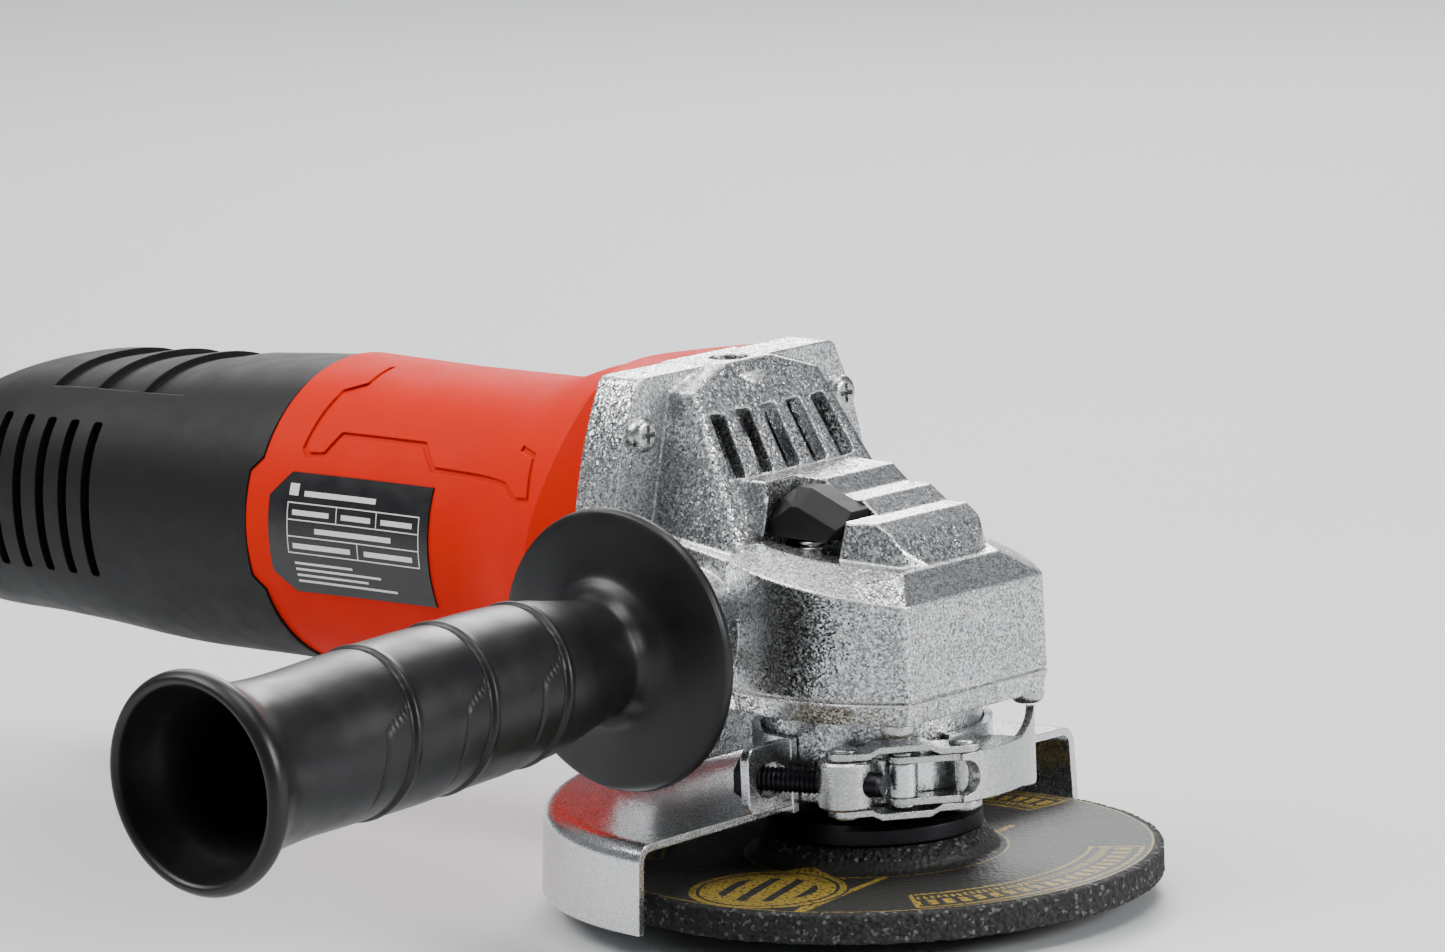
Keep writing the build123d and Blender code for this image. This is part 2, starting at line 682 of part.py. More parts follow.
with BuildPart() as commutator:
    with BuildSketch(shaft_plane(commutator_back)):
        Circle(commutator_r)
        Circle(core_shaft_r, mode=Mode.SUBTRACT)
        with PolarLocations(commutator_r - 0.3, armature_slots * 2):
            Rectangle(1.2, 0.4, mode=Mode.SUBTRACT)
    extrude(amount=commutator_front - commutator_back)
commutator.part.label = "commutator"
export_step(commutator.part, "parts/commutator.step")

with BuildPart() as cooling_fan:
    with BuildSketch(shaft_plane(fan_back)):
        Circle(fan_r)
        Circle(front_shaft_r, mode=Mode.SUBTRACT)
    extrude(amount=1.6)
    with BuildSketch(shaft_plane(fan_back)):
        Circle(9)
        Circle(front_shaft_r, mode=Mode.SUBTRACT)
    extrude(amount=fan_front - fan_back)
    for i in range(fan_blades):
        with BuildSketch(shaft_plane(fan_back + 1.5)):
            with PolarLocations((fan_r + 14) / 2, 1, start_angle=360 * i / fan_blades):
                with Locations(Location((0, 0, 0), (0, 0, 24))):
                    Rectangle(fan_r - 15, 1.6)
        extrude(amount=fan_front - fan_back - 1.5)
cooling_fan.part.label = "cooling_fan"
export_step(cooling_fan.part, "parts/cooling_fan.step")

front_bearing = Compound(
    label="front_bearing",
    children=ball_bearing(
        shaft_plane(flange_x), front_shaft_r + fit, front_bearing_r, front_bearing_width, 7),
)
export_step(front_bearing, "parts/front_bearing.step")

rear_bearing = Compound(
    label="rear_bearing",
    children=ball_bearing(
        shaft_plane(rear_bearing_x), rear_shaft_r + fit, rear_bearing_r, rear_bearing_width, 7),
)
export_step(rear_bearing, "parts/rear_bearing.step")

bearing_sleeve = ring(shaft_plane(rear_bearing_x), sleeve_r, rear_bearing_r, rear_bearing_width)
bearing_sleeve.label = "bearing_sleeve"
export_step(bearing_sleeve, "parts/bearing_sleeve.step")

# ---------------------------------------------------------------- motor housing
motor_outside = motor_body()
motor_inside = motor_body(-wall)

with BuildPart() as screw_bosses:
    with BuildSketch(Plane.YZ.offset(flange_x - 18)):
        with Locations(*ear_screws):
            Circle(5.2)
    extrude(amount=18)
    add(motor_outside, mode=Mode.INTERSECT)

# a tab on each side that reaches past the joint into the rear covers
with BuildPart() as side_tabs:
    with BuildSketch(Plane.XZ):
        with BuildLine():
            Polyline(
                (parting_x, 81.6), (parting_x - 2.8, 78.8), (parting_x - 2.8, 56.8), (parting_x, 54.0), close=True,
            )
        make_face()
    extrude(amount=40, both=True)
    with BuildSketch(Plane.YZ.offset(parting_x - 2.8)):
        with Locations((0, motor_z)):
            Circle(waist_end_r)
            Circle(spigot_r, mode=Mode.SUBTRACT)
    extrude(amount=2.8, mode=Mode.INTERSECT)

# shallow styling grooves on both sides
groove_run = [
    (-124.8, 98.5), (-124.4, 95.8), (-129.0, 94.4), (-129.6, 90.3), (-130.1, 84.3), (-128.7, 82.9),
    (-124.1, 83.2), (-121.4, 87.2), (-97.5, 87.1), (-92.7, 82.8), (-68.9, 82.2), (-63.7, 80.0),
    (-58.9, 80.4), (-61.7, 88.5), (-67.5, 89.3),
]
with BuildPart() as grooves:
    with BuildSketch(Plane.XZ):
        with BuildLine():
            Polyline(*groove_run)
        trace(line_width=1.1)
    extrude(amount=45, both=True)
    add(motor_body(-0.5), mode=Mode.SUBTRACT)

with BuildPart() as motor_housing:
    add(motor_outside)
    add(motor_inside, mode=Mode.SUBTRACT)
    add(screw_bosses.part)
    add(side_tabs.part)
    # spigot inside the rear covers, with the rear bearing's seat
    with BuildSketch(shaft_plane(parting_x)):
        Circle(31.4)
    extrude(amount=14)
    with BuildSketch(shaft_plane(spigot_end)):
        Circle(spigot_r)
    extrude(amount=parting_x - spigot_end)
    with BuildSketch(shaft_plane(spigot_end + 3)):
        Circle(spigot_r - wall)
    extrude(amount=40, mode=Mode.SUBTRACT)
    with BuildSketch(shaft_plane(spigot_end)):
        Circle(sleeve_r + 3)
    extrude(amount=rear_bearing_x + rear_bearing_width - spigot_end)
    with BuildSketch(shaft_plane(rear_bearing_x)):
        Circle(sleeve_r)
    extrude(amount=12, mode=Mode.SUBTRACT)
    with BuildSketch(shaft_plane(spigot_end)):
        Circle(rear_shaft_r + 1)
        with PolarLocations(22, 8, start_angle=22.5):
            Circle(4)
    extrude(amount=5, mode=Mode.SUBTRACT)
    # tunnels for the brush holders, a channel for the switch rod and the slider's slot
    with BuildSketch(Plane.XY.offset(motor_z)):
        with Locations((brush_x, 0)):
            Rectangle(holder_x, holder_y)
    extrude(amount=holder_top, both=True, mode=Mode.SUBTRACT)
    with BuildSketch(Plane.XZ.offset(-26.6)):
        with Locations((-140, motor_z)):
            Rectangle(44, 9)
    extrude(amount=-3.9, mode=Mode.SUBTRACT)
    with BuildSketch(Plane.XZ.offset(-26)):
        with Locations((slider_x + slider_travel / 2, motor_z)):
            Rectangle(12 + slider_travel, 7)
    extrude(amount=-12, mode=Mode.SUBTRACT)
    add(grooves.part, mode=Mode.SUBTRACT)
    with BuildSketch(Plane.YZ.offset(flange_x)):
        with Locations(*ear_screws):
            Circle(2.2)
    extrude(amount=-5, mode=Mode.SUBTRACT)
motor_housing.part.label = "motor_housing"
export_step(motor_housing.part, "parts/motor_housing.step")

# ---------------------------------------------------------------- stator, baffle, brushes and switch gear
with BuildPart() as stator_core:
    with BuildSketch(shaft_plane(core_back)):
        Circle(stator_r)
        Rectangle(2 * stator_flat, 2 * stator_r, mode=Mode.INTERSECT)
        Circle(stator_bore, mode=Mode.SUBTRACT)
        with Locations((stator_bore, 0), (-stator_bore, 0)):
            Rectangle(8, 24, mode=Mode.SUBTRACT)
    extrude(amount=core_front - core_back)
stator_core.part.label = "stator_core"
export_step(stator_core.part, "parts/stator_core.step")


def stator_coil(side):
    """One saddle coil: two bars beside the poles, joined by an arch over each end of the core."""
    with BuildPart() as coil:
        with BuildSketch(shaft_plane(core_back - 5)):
            for y in (-1, 1):
                with Locations((y * 22.6, side * 6)):
                    Rectangle(3.4, 9)
        extrude(amount=core_front - core_back + 10)
        for x in (core_back - 5, core_front + 0.4):
            with BuildSketch(shaft_plane(x)):
                Circle(26.4)
                Circle(21.2, mode=Mode.SUBTRACT)
                with Locations((0, side * -19)):
                    Rectangle(60, 50, mode=Mode.SUBTRACT)
            extrude(amount=4.6)
            with BuildSketch(shaft_plane(x)):
                for y in (-1, 1):
                    with Locations((y * 22.8, side * 7.5)):
                        Rectangle(4.2, 9)
            extrude(amount=4.6)
    return coil.part


stator_coils = Compound(label="stator_coils", children=[stator_coil(1), stator_coil(-1)])
export_step(stator_coils, "parts/stator_coils.step")

with BuildPart() as air_baffle:
    with BuildSketch(shaft_plane(-65)):
        Circle(45)
    extrude(amount=2)
    add(motor_inside, mode=Mode.INTERSECT)
    with BuildSketch(shaft_plane(-66)):
        Circle(28.2)
    extrude(amount=4, mode=Mode.SUBTRACT)
air_baffle.part.label = "air_baffle"
export_step(air_baffle.part, "parts/air_baffle.step")


def brush_holder(side):
    """A brass box that guides one carbon brush towards the commutator."""
    with BuildPart() as holder:
        with BuildSketch(Plane.XY.offset(motor_z + side * 14)):
            with Locations((brush_x, 0)):
                Rectangle(9.4, 7.4)
                Rectangle(7.4, 5.4, mode=Mode.SUBTRACT)
        extrude(amount=side * 15.2)
        with BuildSketch(Plane.XY.offset(motor_z + side * 28.4)):
            with Locations((brush_x, 0)):
                Rectangle(9.4, 7.4)
        extrude(amount=side * 0.8)
    return holder.part


def carbon_brush(side):
    """One carbon brush with its working end hollowed to the commutator."""
    with BuildPart() as brush:
        with BuildSketch(Plane.XY.offset(motor_z + side * 8)):
            with Locations((brush_x, 0)):
                Rectangle(7.2, 5.2)
        extrude(amount=side * 14)
        with BuildSketch(shaft_plane(brush_x - 10)):
            Circle(commutator_r + fit)
        extrude(amount=20, mode=Mode.SUBTRACT)
    return brush.part


brush_holders = Compound(label="brush_holders", children=[brush_holder(1), brush_holder(-1)])
export_step(brush_holders, "parts/brush_holders.step")
carbon_brushes = Compound(label="carbon_brushes", children=[carbon_brush(1), carbon_brush(-1)])
export_step(carbon_brushes, "parts/carbon_brushes.step")
brush_springs = Compound(
    label="brush_springs",
    children=[
        coil_spring(Plane(origin=(brush_x, 0, motor_z + side * 22), z_dir=(0, 0, side)), 2.0, 0.25, 6.4, 4)
        for side in (1, -1)
    ],
)
export_step(brush_springs, "parts/brush_springs.step")

with BuildPart() as power_switch:
    with BuildSketch(Plane.XY.offset(56)):
        with Locations((-190, 12)):
            Rectangle(26, 20)
    extrude(amount=21)
    fillet(power_switch.edges().filter_by(Axis.Z), 1.2)
    with BuildSketch(Plane.YZ.offset(-177)):
        with Locations((16, motor_z)):
            Rectangle(6, 8)
    extrude(amount=2)
power_switch.part.label = "power_switch"
export_step(power_switch.part, "parts/power_switch.step")

with BuildPart() as noise_capacitor:
    with BuildSketch(Plane.XY.offset(57)):
        with Locations((-221, 0)):
            Rectangle(20, 26)
    extrude(amount=13)
    fillet(noise_capacitor.edges(), 1.5)
noise_capacitor.part.label = "noise_capacitor"
export_step(noise_capacitor.part, "parts/noise_capacitor.step")

with BuildPart() as switch_rod:
    with BuildSketch(Plane.XZ.offset(-28.0)):
        with Locations(((slider_x + 4 - 172) / 2, motor_z)):
            Rectangle(slider_x + 4 + 172, 5)
    extrude(amount=-1.2)
    with BuildSketch(Plane.YZ.offset(-172)):
        with Locations((22.2, motor_z)):
            Rectangle(13, 5)
    extrude(amount=1.4)
switch_rod.part.label = "switch_rod"
export_step(switch_rod.part, "parts/switch_rod.step")

with BuildPart() as switch_slider:
    with BuildSketch(Plane.XZ.offset(-30)):
        with Locations((slider_x, motor_z)):
            RectangleRounded(24, 17, 3)
    extrude(amount=-12)
    add(motor_barrel(4.6), mode=Mode.INTERSECT)
    # thumb ribs
    for i in range(6):
        with BuildSketch(Plane.XY.offset(motor_z - 12)):
            with Locations(Location((slider_x - 7.5 + 3 * i, 37.6, 0), (0, 0, 45))):
                Rectangle(1.6, 1.6)
        extrude(amount=24, mode=Mode.SUBTRACT)
    add(motor_barrel(0.35), mode=Mode.SUBTRACT)
    with BuildSketch(Plane.XZ.offset(-29.2)):
        with Locations((slider_x, motor_z)):
            Rectangle(11.4, 6.4)
    extrude(amount=-4.2)
switch_slider.part.label = "switch_slider"
export_step(switch_slider.part, "parts/switch_slider.step")

# ---------------------------------------------------------------- rating plate
with BuildPart() as rating_plate:
    with BuildSketch(Plane.XZ.offset(20)):
        with BuildLine():
            Polyline(
                (-90.5, 54.8), (-90.5, 79.6), (-131, 79.6), (-136.4, 74.6), (-136.4, 58.6), (-131, 54.4), close=True,
            )
        make_face()
    extrude(amount=20)
    add(motor_barrel(0.35), mode=Mode.INTERSECT)
    add(motor_outside, mode=Mode.SUBTRACT)
rating_plate.part.label = "rating_plate"
export_step(rating_plate.part, "parts/rating_plate.step")

# ---------------------------------------------------------------- rear covers
rear_outside = casing(rear_stations)
rear_inside = casing(rear_stations[:-2] + [(body_end + 2.8, 22.0, 17.9, 60.4, 2.3)], -wall)
vent_first, vent_pitch, vent_count = -193.0, 7.2, 6
cover_fixings = [(-172.0, 87.0), (-172.0, 43.5), (-246.0, 74.0), (-246.0, 50.0)]  # X, Z


def grip_step(start):
    """What one grip step takes off the casing's top, deeper towards the rear."""
    levels = [casing_section(start - step_length * share, 0.1 - step_depth * share) for share in (0, 0.5, 1)]
    with BuildPart() as step:
        with Locations((start - step_length / 2, 0, 92)):
            Box(step_length, 42, 24)
        loft(levels, ruled=True, mode=Mode.SUBTRACT)
    return step.part


step_first, step_length, step_depth = -171.5, 14.2, 1.6
grip_steps = [grip_step(step_first - step_length * i) for i in range(3)]

with BuildPart() as cover_posts:
    with BuildSketch(Plane.XZ):
        with Locations(*cover_fixings):
            Circle(3.6)
    extrude(amount=28, both=True)
    add(rear_outside, mode=Mode.INTERSECT)

with BuildPart() as rear_shell:
    add(rear_outside)
    add(rear_inside, mode=Mode.SUBTRACT)
    # side vents
    with BuildSketch(Plane.XZ):
        for i in range(vent_count):
            with Locations((vent_first - vent_pitch * i, 68)):
                RectangleRounded(2.7, 33, 0.8)
    extrude(amount=40, both=True, mode=Mode.SUBTRACT)
    add(grip_steps, mode=Mode.SUBTRACT)
    with BuildSketch(Plane.YZ.offset(body_end)):
        with Locations((0, 60.2)):
            Circle(cord_hole_r)
    extrude(amount=8, mode=Mode.SUBTRACT)
    add(cover_posts.part)
    with BuildSketch(Plane.XZ):
        with Locations(*cover_fixings):
            Circle(1.7)
    extrude(amount=12, both=True, mode=Mode.SUBTRACT)
    with BuildSketch(Plane.XZ):
        with BuildLine():
            Polyline(
                (parting_x, 81.8), (parting_x - 2.9, 79.0), (parting_x - 2.9, 56.6), (parting_x, 53.8), close=True,
            )
        make_face()
    extrude(amount=40, both=True, mode=Mode.SUBTRACT)


def rear_cover(side):
    """One half of the rear casing, split on the centre plane; +1 is the tool's left."""
    with BuildPart() as cover:
        add(rear_shell.part)
        split(bisect_by=Plane.XZ, keep=Keep.BOTTOM if side > 0 else Keep.TOP)
        if side > 0:
            with BuildSketch(Plane.XZ.offset(-12)):
                with Locations(*cover_fixings):
                    Circle(3.0)
            extrude(amount=-24, mode=Mode.SUBTRACT)
    return cover.part


rear_cover_left = rear_cover(1)
rear_cover_left.label = "rear_cover_left"
export_step(rear_cover_left, "parts/rear_cover_left.step")
rear_cover_right = rear_cover(-1)
rear_cover_right.label = "rear_cover_right"
export_step(rear_cover_right, "parts/rear_cover_right.step")

rear_cover_screws = Compound(
    label="rear_cover_screws",
    children=[
        pan_screw(Plane(origin=(x, 12, z), z_dir=(0, 1, 0)), 2.8, 2.2, 1.7, 22) for x, z in cover_fixings
    ],
)
export_step(rear_cover_screws, "parts/rear_cover_screws.step")

# ---------------------------------------------------------------- side handle
with BuildPart() as handle_grip:
    with BuildSketch(Plane.XZ):
        with BuildLine():
            Polyline(
                (0, 0.1), (6.6, 0.1), (6.9, 0.4), (9.0, 11.4), (12.0, 13.6), (26.4, 13.6), (28.3, 14.8),
                (28.3, 16.6), (26.6, 17.2), (17.0, 19.0),
            )
            Spline((17.0, 19.0), (13.0, 22.0), (12.2, 26.0), (13.6, 34.0), (15.4, 42.5), (16.1, 62.0),
                   (16.2, 88.0), (15.7, 112.0), (16.4, 124.5), (19.4, 130.5), (21.0, 132.2))
            Polyline((21.0, 132.2), (21.3, 133.6), (21.0, 135.4), (19.9, 136.4), (18.9, 136.2), (18.4, 135.0),
                     (17.9, 133.0), (16.6, 129.5), (14.2, 124.5), (13.3, 120.0), (12.8, 110.0), (12.6, 45.0),
                     (0, 42.0), (0, 0.1))
        make_face()
    revolve(axis=Axis.Z)
    with BuildSketch(Plane.XY):
        Circle(handle_thread - 0.07)
    extrude(amount=22, mode=Mode.SUBTRACT)
    for reach in (50, 72, 94):
        with BuildSketch(Plane.XY.offset(reach)):
            Circle(18)
            Circle(15.5, mode=Mode.SUBTRACT)
        extrude(amount=0.9, mode=Mode.SUBTRACT)
handle_grip.part.locate(boss_planes[0].location)
handle_grip.part.label = "handle_grip"
export_step(handle_grip.part, "parts/handle_grip.step")

with BuildPart() as handle_stud:
    with BuildSketch(Plane.XY.offset(-12)):
        Circle(handle_thread - 0.07)
    extrude(amount=34)
    chamfer(handle_stud.faces().sort_by(Axis.Z)[0].edges(), 0.8)
handle_stud.part.locate(boss_planes[0].location)
handle_stud.part.label = "handle_stud"
export_step(handle_stud.part, "parts/handle_stud.step")

# ---------------------------------------------------------------- guard
with BuildPart() as guard:
    with BuildSketch(Plane.XZ):
        with BuildLine():
            Line((band_outer, guard_top + 0.4), (62.4, guard_top))
            ThreePointArc((62.4, guard_top), (65.3, 21.5), (66.4, 18.8))
            Line((66.4, 18.8), (guard_radius, guard_bottom))
            Line((guard_radius, guard_bottom), (guard_radius - guard_sheet, guard_bottom))
            Line((guard_radius - guard_sheet, guard_bottom), (64.8, 18.8))
            ThreePointArc((64.8, 18.8), (64.1, 20.4), (62.4, guard_top - guard_sheet))
            Line((62.4, guard_top - guard_sheet), (band_outer, guard_top + 0.4 - guard_sheet))
            Line((band_outer, guard_top + 0.4 - guard_sheet), (band_outer, guard_top + 0.4))
        make_face()
    revolve(axis=Axis.Z)
    with BuildSketch(Plane.XY):
        with Locations((guard_cut_x + 50, 0)):
            Rectangle(100, 160)
    extrude(amount=40, mode=Mode.SUBTRACT)
guard.part.label = "guard"
export_step(guard.part, "parts/guard.step")

# ---------------------------------------------------------------- guard clamp


def wedge(start, stop, reach=60.0):
    """A pie slice about the origin between two angles in degrees, as a sketch."""
    middle = (start + stop) / 2
    with BuildSketch() as slice_:
        Polygon(
            (0, 0),
            *[(reach * cos(radians(a)), reach * sin(radians(a))) for a in (start, middle, stop)],
            align=None,
        )
    return slice_.sketch


with BuildPart() as clamp_band:
    with BuildSketch(Plane.XY.offset(band_bottom)):
        Circle(band_outer)
        Circle(band_inner, mode=Mode.SUBTRACT)
        add(wedge(-91, -47), mode=Mode.SUBTRACT)
    extrude(amount=band_top - band_bottom)
    # a tongue carries the lever's pivot
    for low, high in ((band_bottom, tongue_low), (tongue_high, band_top)):
        with BuildSketch(Plane.XY.offset(low)):
            add(wedge(-48, -10))
        extrude(amount=high - low, mode=Mode.SUBTRACT)
    with BuildSketch(Plane.XY.offset(tongue_low)):
        with Locations(pivot):
            Circle(3.2)
    extrude(amount=tongue_high - tongue_low)
    with BuildSketch(Plane.XY.offset(tongue_low)):
        with Locations(pivot):
            Circle(pivot_pin_r)
    extrude(amount=tongue_high - tongue_low, mode=Mode.SUBTRACT)
    # ear for the clamp bolt
    with BuildSketch(Plane.YZ.offset(-2.6)):
        with Locations((-29.6, (guard_top + 0.4 + band_top) / 2)):
            RectangleRounded(14, band_top - guard_top - 0.4, 2.2)
    extrude(amount=2)
    with BuildSketch(Plane.YZ.offset(-4)):
        with Locations((-29.9, clamp_mid)):
            RectangleRounded(8.6, 6.8, 3.0)
    extrude(amount=5, mode=Mode.SUBTRACT)
    with BuildSketch(Plane.XY.offset(band_bottom - 1)):
        Circle(band_inner)
    extrude(amount=30, mode=Mode.SUBTRACT)
clamp_band.part.label = "clamp_band"
export_step(clamp_band.part, "parts/clamp_band.step")


def rivet(place, shank_r, head_r, head_h, low, high):
    """A rivet along Z: its shank runs from low to high, with a domed head on each end."""
    with BuildPart() as pin:
        for height, length, radius in (
            (low, high - low, shank_r), (high, head_h, head_r), (low, -head_h, head_r),
        ):
            with BuildSketch(Plane(origin=(place.X, place.Y, height))):
                Circle(radius)
            extrude(amount=length)
        fillet(pin.faces().sort_by(Axis.Z)[-1].edges(), head_h * 0.7)
        fillet(pin.faces().sort_by(Axis.Z)[0].edges(), head_h * 0.7)
    return pin.part


lever_pin = rivet(pivot, pivot_pin_r, 2.6, 0.7, clamp_low - 0.1, clamp_high + 0.1)
lever_pin.label = "lever_pin"
export_step(lever_pin, "parts/lever_pin.step")

lever_turn = 15.0
lever_wall = Plane(
    origin=(0, 0, 0), x_dir=(-sin(radians(lever_turn)), cos(radians(lever_turn)), 0),
    z_dir=(cos(radians(lever_turn)), sin(radians(lever_turn)), 0),
)
with BuildPart() as clamp_lever:
    with BuildSketch(Plane.XY.offset(20)):
        Circle(lever_outer)
        Circle(lever_outer - lever_sheet, mode=Mode.SUBTRACT)
        add(wedge(-14, 48), mode=Mode.INTERSECT)
    extrude(amount=20)
    with BuildSketch(lever_wall.offset(20)):
        with BuildLine():
            Polyline(
                (-20, clamp_low), (-20, clamp_high), (1, clamp_high + 0.2), (7, clamp_high + 2.2),
                (12, lever_top), (15.2, lever_top), (17.4, lever_top - 2.2), (17.4, 28.0), (14.4, lever_low + 0.8),
                (10, lever_low), (0, clamp_low), close=True,
            )
        make_face()
        with Locations((-16.5, clamp_mid)):
            Circle(3.6, mode=Mode.SUBTRACT)
    extrude(amount=20, mode=Mode.INTERSECT)
    for low in (clamp_low, clamp_high - lever_flange):
        with BuildSketch(Plane.XY.offset(low)):
            Circle(lever_outer)
            Circle(band_outer + 0.6, mode=Mode.SUBTRACT)
            add(wedge(-16, 20), mode=Mode.INTERSECT)
        extrude(amount=lever_flange)
        with BuildSketch(Plane.XY.offset(low)):
            with Locations(pivot):
                Circle(3.2)
            with Locations(link_pin):
                Circle(3.4)
            make_hull()
        extrude(amount=lever_flange)
    with BuildSketch(Plane.XY.offset(clamp_low)):
        with Locations(pivot):
            Circle(pivot_pin_r + fit)
        with Locations(link_pin):
            Circle(link_pin_r)
    extrude(amount=clamp_high - clamp_low, mode=Mode.SUBTRACT)
clamp_lever.part.label = "clamp_lever"
export_step(clamp_lever.part, "parts/clamp_lever.step")

link_rivet = rivet(link_pin, link_pin_r, 2.7, 0.8, link_low - fit, link_high + fit)
link_rivet.label = "link_rivet"
export_step(link_rivet, "parts/link_rivet.step")

link_run = link_pin - nut
link_frame = Plane(origin=(nut.X, nut.Y, clamp_mid), x_dir=link_run, z_dir=(0, 0, 1))
foot, wave = link_high - clamp_mid - link_sheet, 1.0
with BuildPart() as link_plates:
    with BuildSketch(Plane.XZ):
        with BuildLine():
            Polyline(
                (-5, foot), (4, foot), (6, foot + wave), (16.5, foot + wave), (18.5, foot),
                (link_run.length + 5, foot), (link_run.length + 5, foot + link_sheet), (18.0, foot + link_sheet),
                (16.0, foot + link_sheet + wave), (6.5, foot + link_sheet + wave), (4.5, foot + link_sheet),
                (-5, foot + link_sheet), close=True,
            )
        make_face()
    extrude(amount=6, both=True)
    with BuildSketch(Plane.XY):
        with Locations((link_run.length / 2, 0)):
            SlotCenterToCenter(link_run.length, 7.2)
        Circle(trunnion_r + fit, mode=Mode.SUBTRACT)
        with Locations((link_run.length, 0)):
            Circle(link_pin_r + fit, mode=Mode.SUBTRACT)
    extrude(amount=12, mode=Mode.INTERSECT)
    mirror(about=Plane.XY)
link_plates.part.locate(link_frame.location)
link_plates.part.label = "link_plates"
export_step(link_plates.part, "parts/link_plates.step")

bolt_run = ear_hole - nut
bolt_frame = Plane(origin=(nut.X, nut.Y, clamp_mid), x_dir=(0, 0, 1), z_dir=(bolt_run.X, bolt_run.Y, 0))
with BuildPart() as barrel_nut:
    with BuildSketch(Plane(origin=(nut.X, nut.Y, clamp_mid))):
        Circle(barrel_r)
    extrude(amount=foot - 0.2, both=True)
    chamfer(barrel_nut.edges(), 0.5)
    add(rivet(nut, trunnion_r, 2.6, 0.7, link_low - fit, link_high + fit))
    with BuildSketch(bolt_frame):
        Circle(bolt_r)
    extrude(amount=10, both=True, mode=Mode.SUBTRACT)
barrel_nut.part.label = "barrel_nut"
export_step(barrel_nut.part, "parts/barrel_nut.step")

bolt_tip, bolt_grip, bolt_end = -8.0, bolt_run.length + 2.3, bolt_run.length + 5.9
thread_turns = round(bolt_grip - barrel_r)
ridge = (bolt_grip - barrel_r) / thread_turns
with BuildPart() as clamp_bolt:
    with BuildSketch(Plane.XZ):
        with BuildLine():
            outline = [(0, bolt_tip), (bolt_r - 0.6, bolt_tip), (bolt_r, bolt_tip + 0.6), (bolt_r, barrel_r)]
            for i in range(thread_turns):
                outline.append((bolt_r - 0.5, barrel_r + ridge * (i + 0.5)))
                outline.append((bolt_r, barrel_r + ridge * (i + 1)))
            Polyline(*outline, (0, bolt_grip), close=True)
        make_face()
    revolve(axis=Axis.Z)
    with BuildSketch(Plane.XY.offset(bolt_grip)):
        RegularPolygon(4.3, 6)
    extrude(amount=bolt_end - bolt_grip)
clamp_bolt.part.locate(bolt_frame.location)
clamp_bolt.part.label = "clamp_bolt"
export_step(clamp_bolt.part, "parts/clamp_bolt.step")
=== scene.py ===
import json
from math import cos, degrees, exp, pi, radians, sin

import bpy
from mathutils import Matrix, Vector, noise


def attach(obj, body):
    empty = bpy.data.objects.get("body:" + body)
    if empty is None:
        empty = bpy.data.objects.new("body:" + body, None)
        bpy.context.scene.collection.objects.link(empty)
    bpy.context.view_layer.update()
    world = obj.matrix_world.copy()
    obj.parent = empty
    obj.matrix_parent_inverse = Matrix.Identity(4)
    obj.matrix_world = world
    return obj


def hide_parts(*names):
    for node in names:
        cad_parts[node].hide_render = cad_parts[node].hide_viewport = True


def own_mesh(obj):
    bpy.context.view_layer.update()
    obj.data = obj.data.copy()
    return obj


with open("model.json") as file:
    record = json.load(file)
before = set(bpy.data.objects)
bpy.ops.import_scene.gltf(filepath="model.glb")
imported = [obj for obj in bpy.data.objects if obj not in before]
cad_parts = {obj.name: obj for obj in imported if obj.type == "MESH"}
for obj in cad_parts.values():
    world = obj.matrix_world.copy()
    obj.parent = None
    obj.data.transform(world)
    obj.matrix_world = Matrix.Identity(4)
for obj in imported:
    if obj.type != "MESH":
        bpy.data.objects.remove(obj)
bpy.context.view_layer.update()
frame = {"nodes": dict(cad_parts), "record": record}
nodes = frame["nodes"]
MM = 0.001


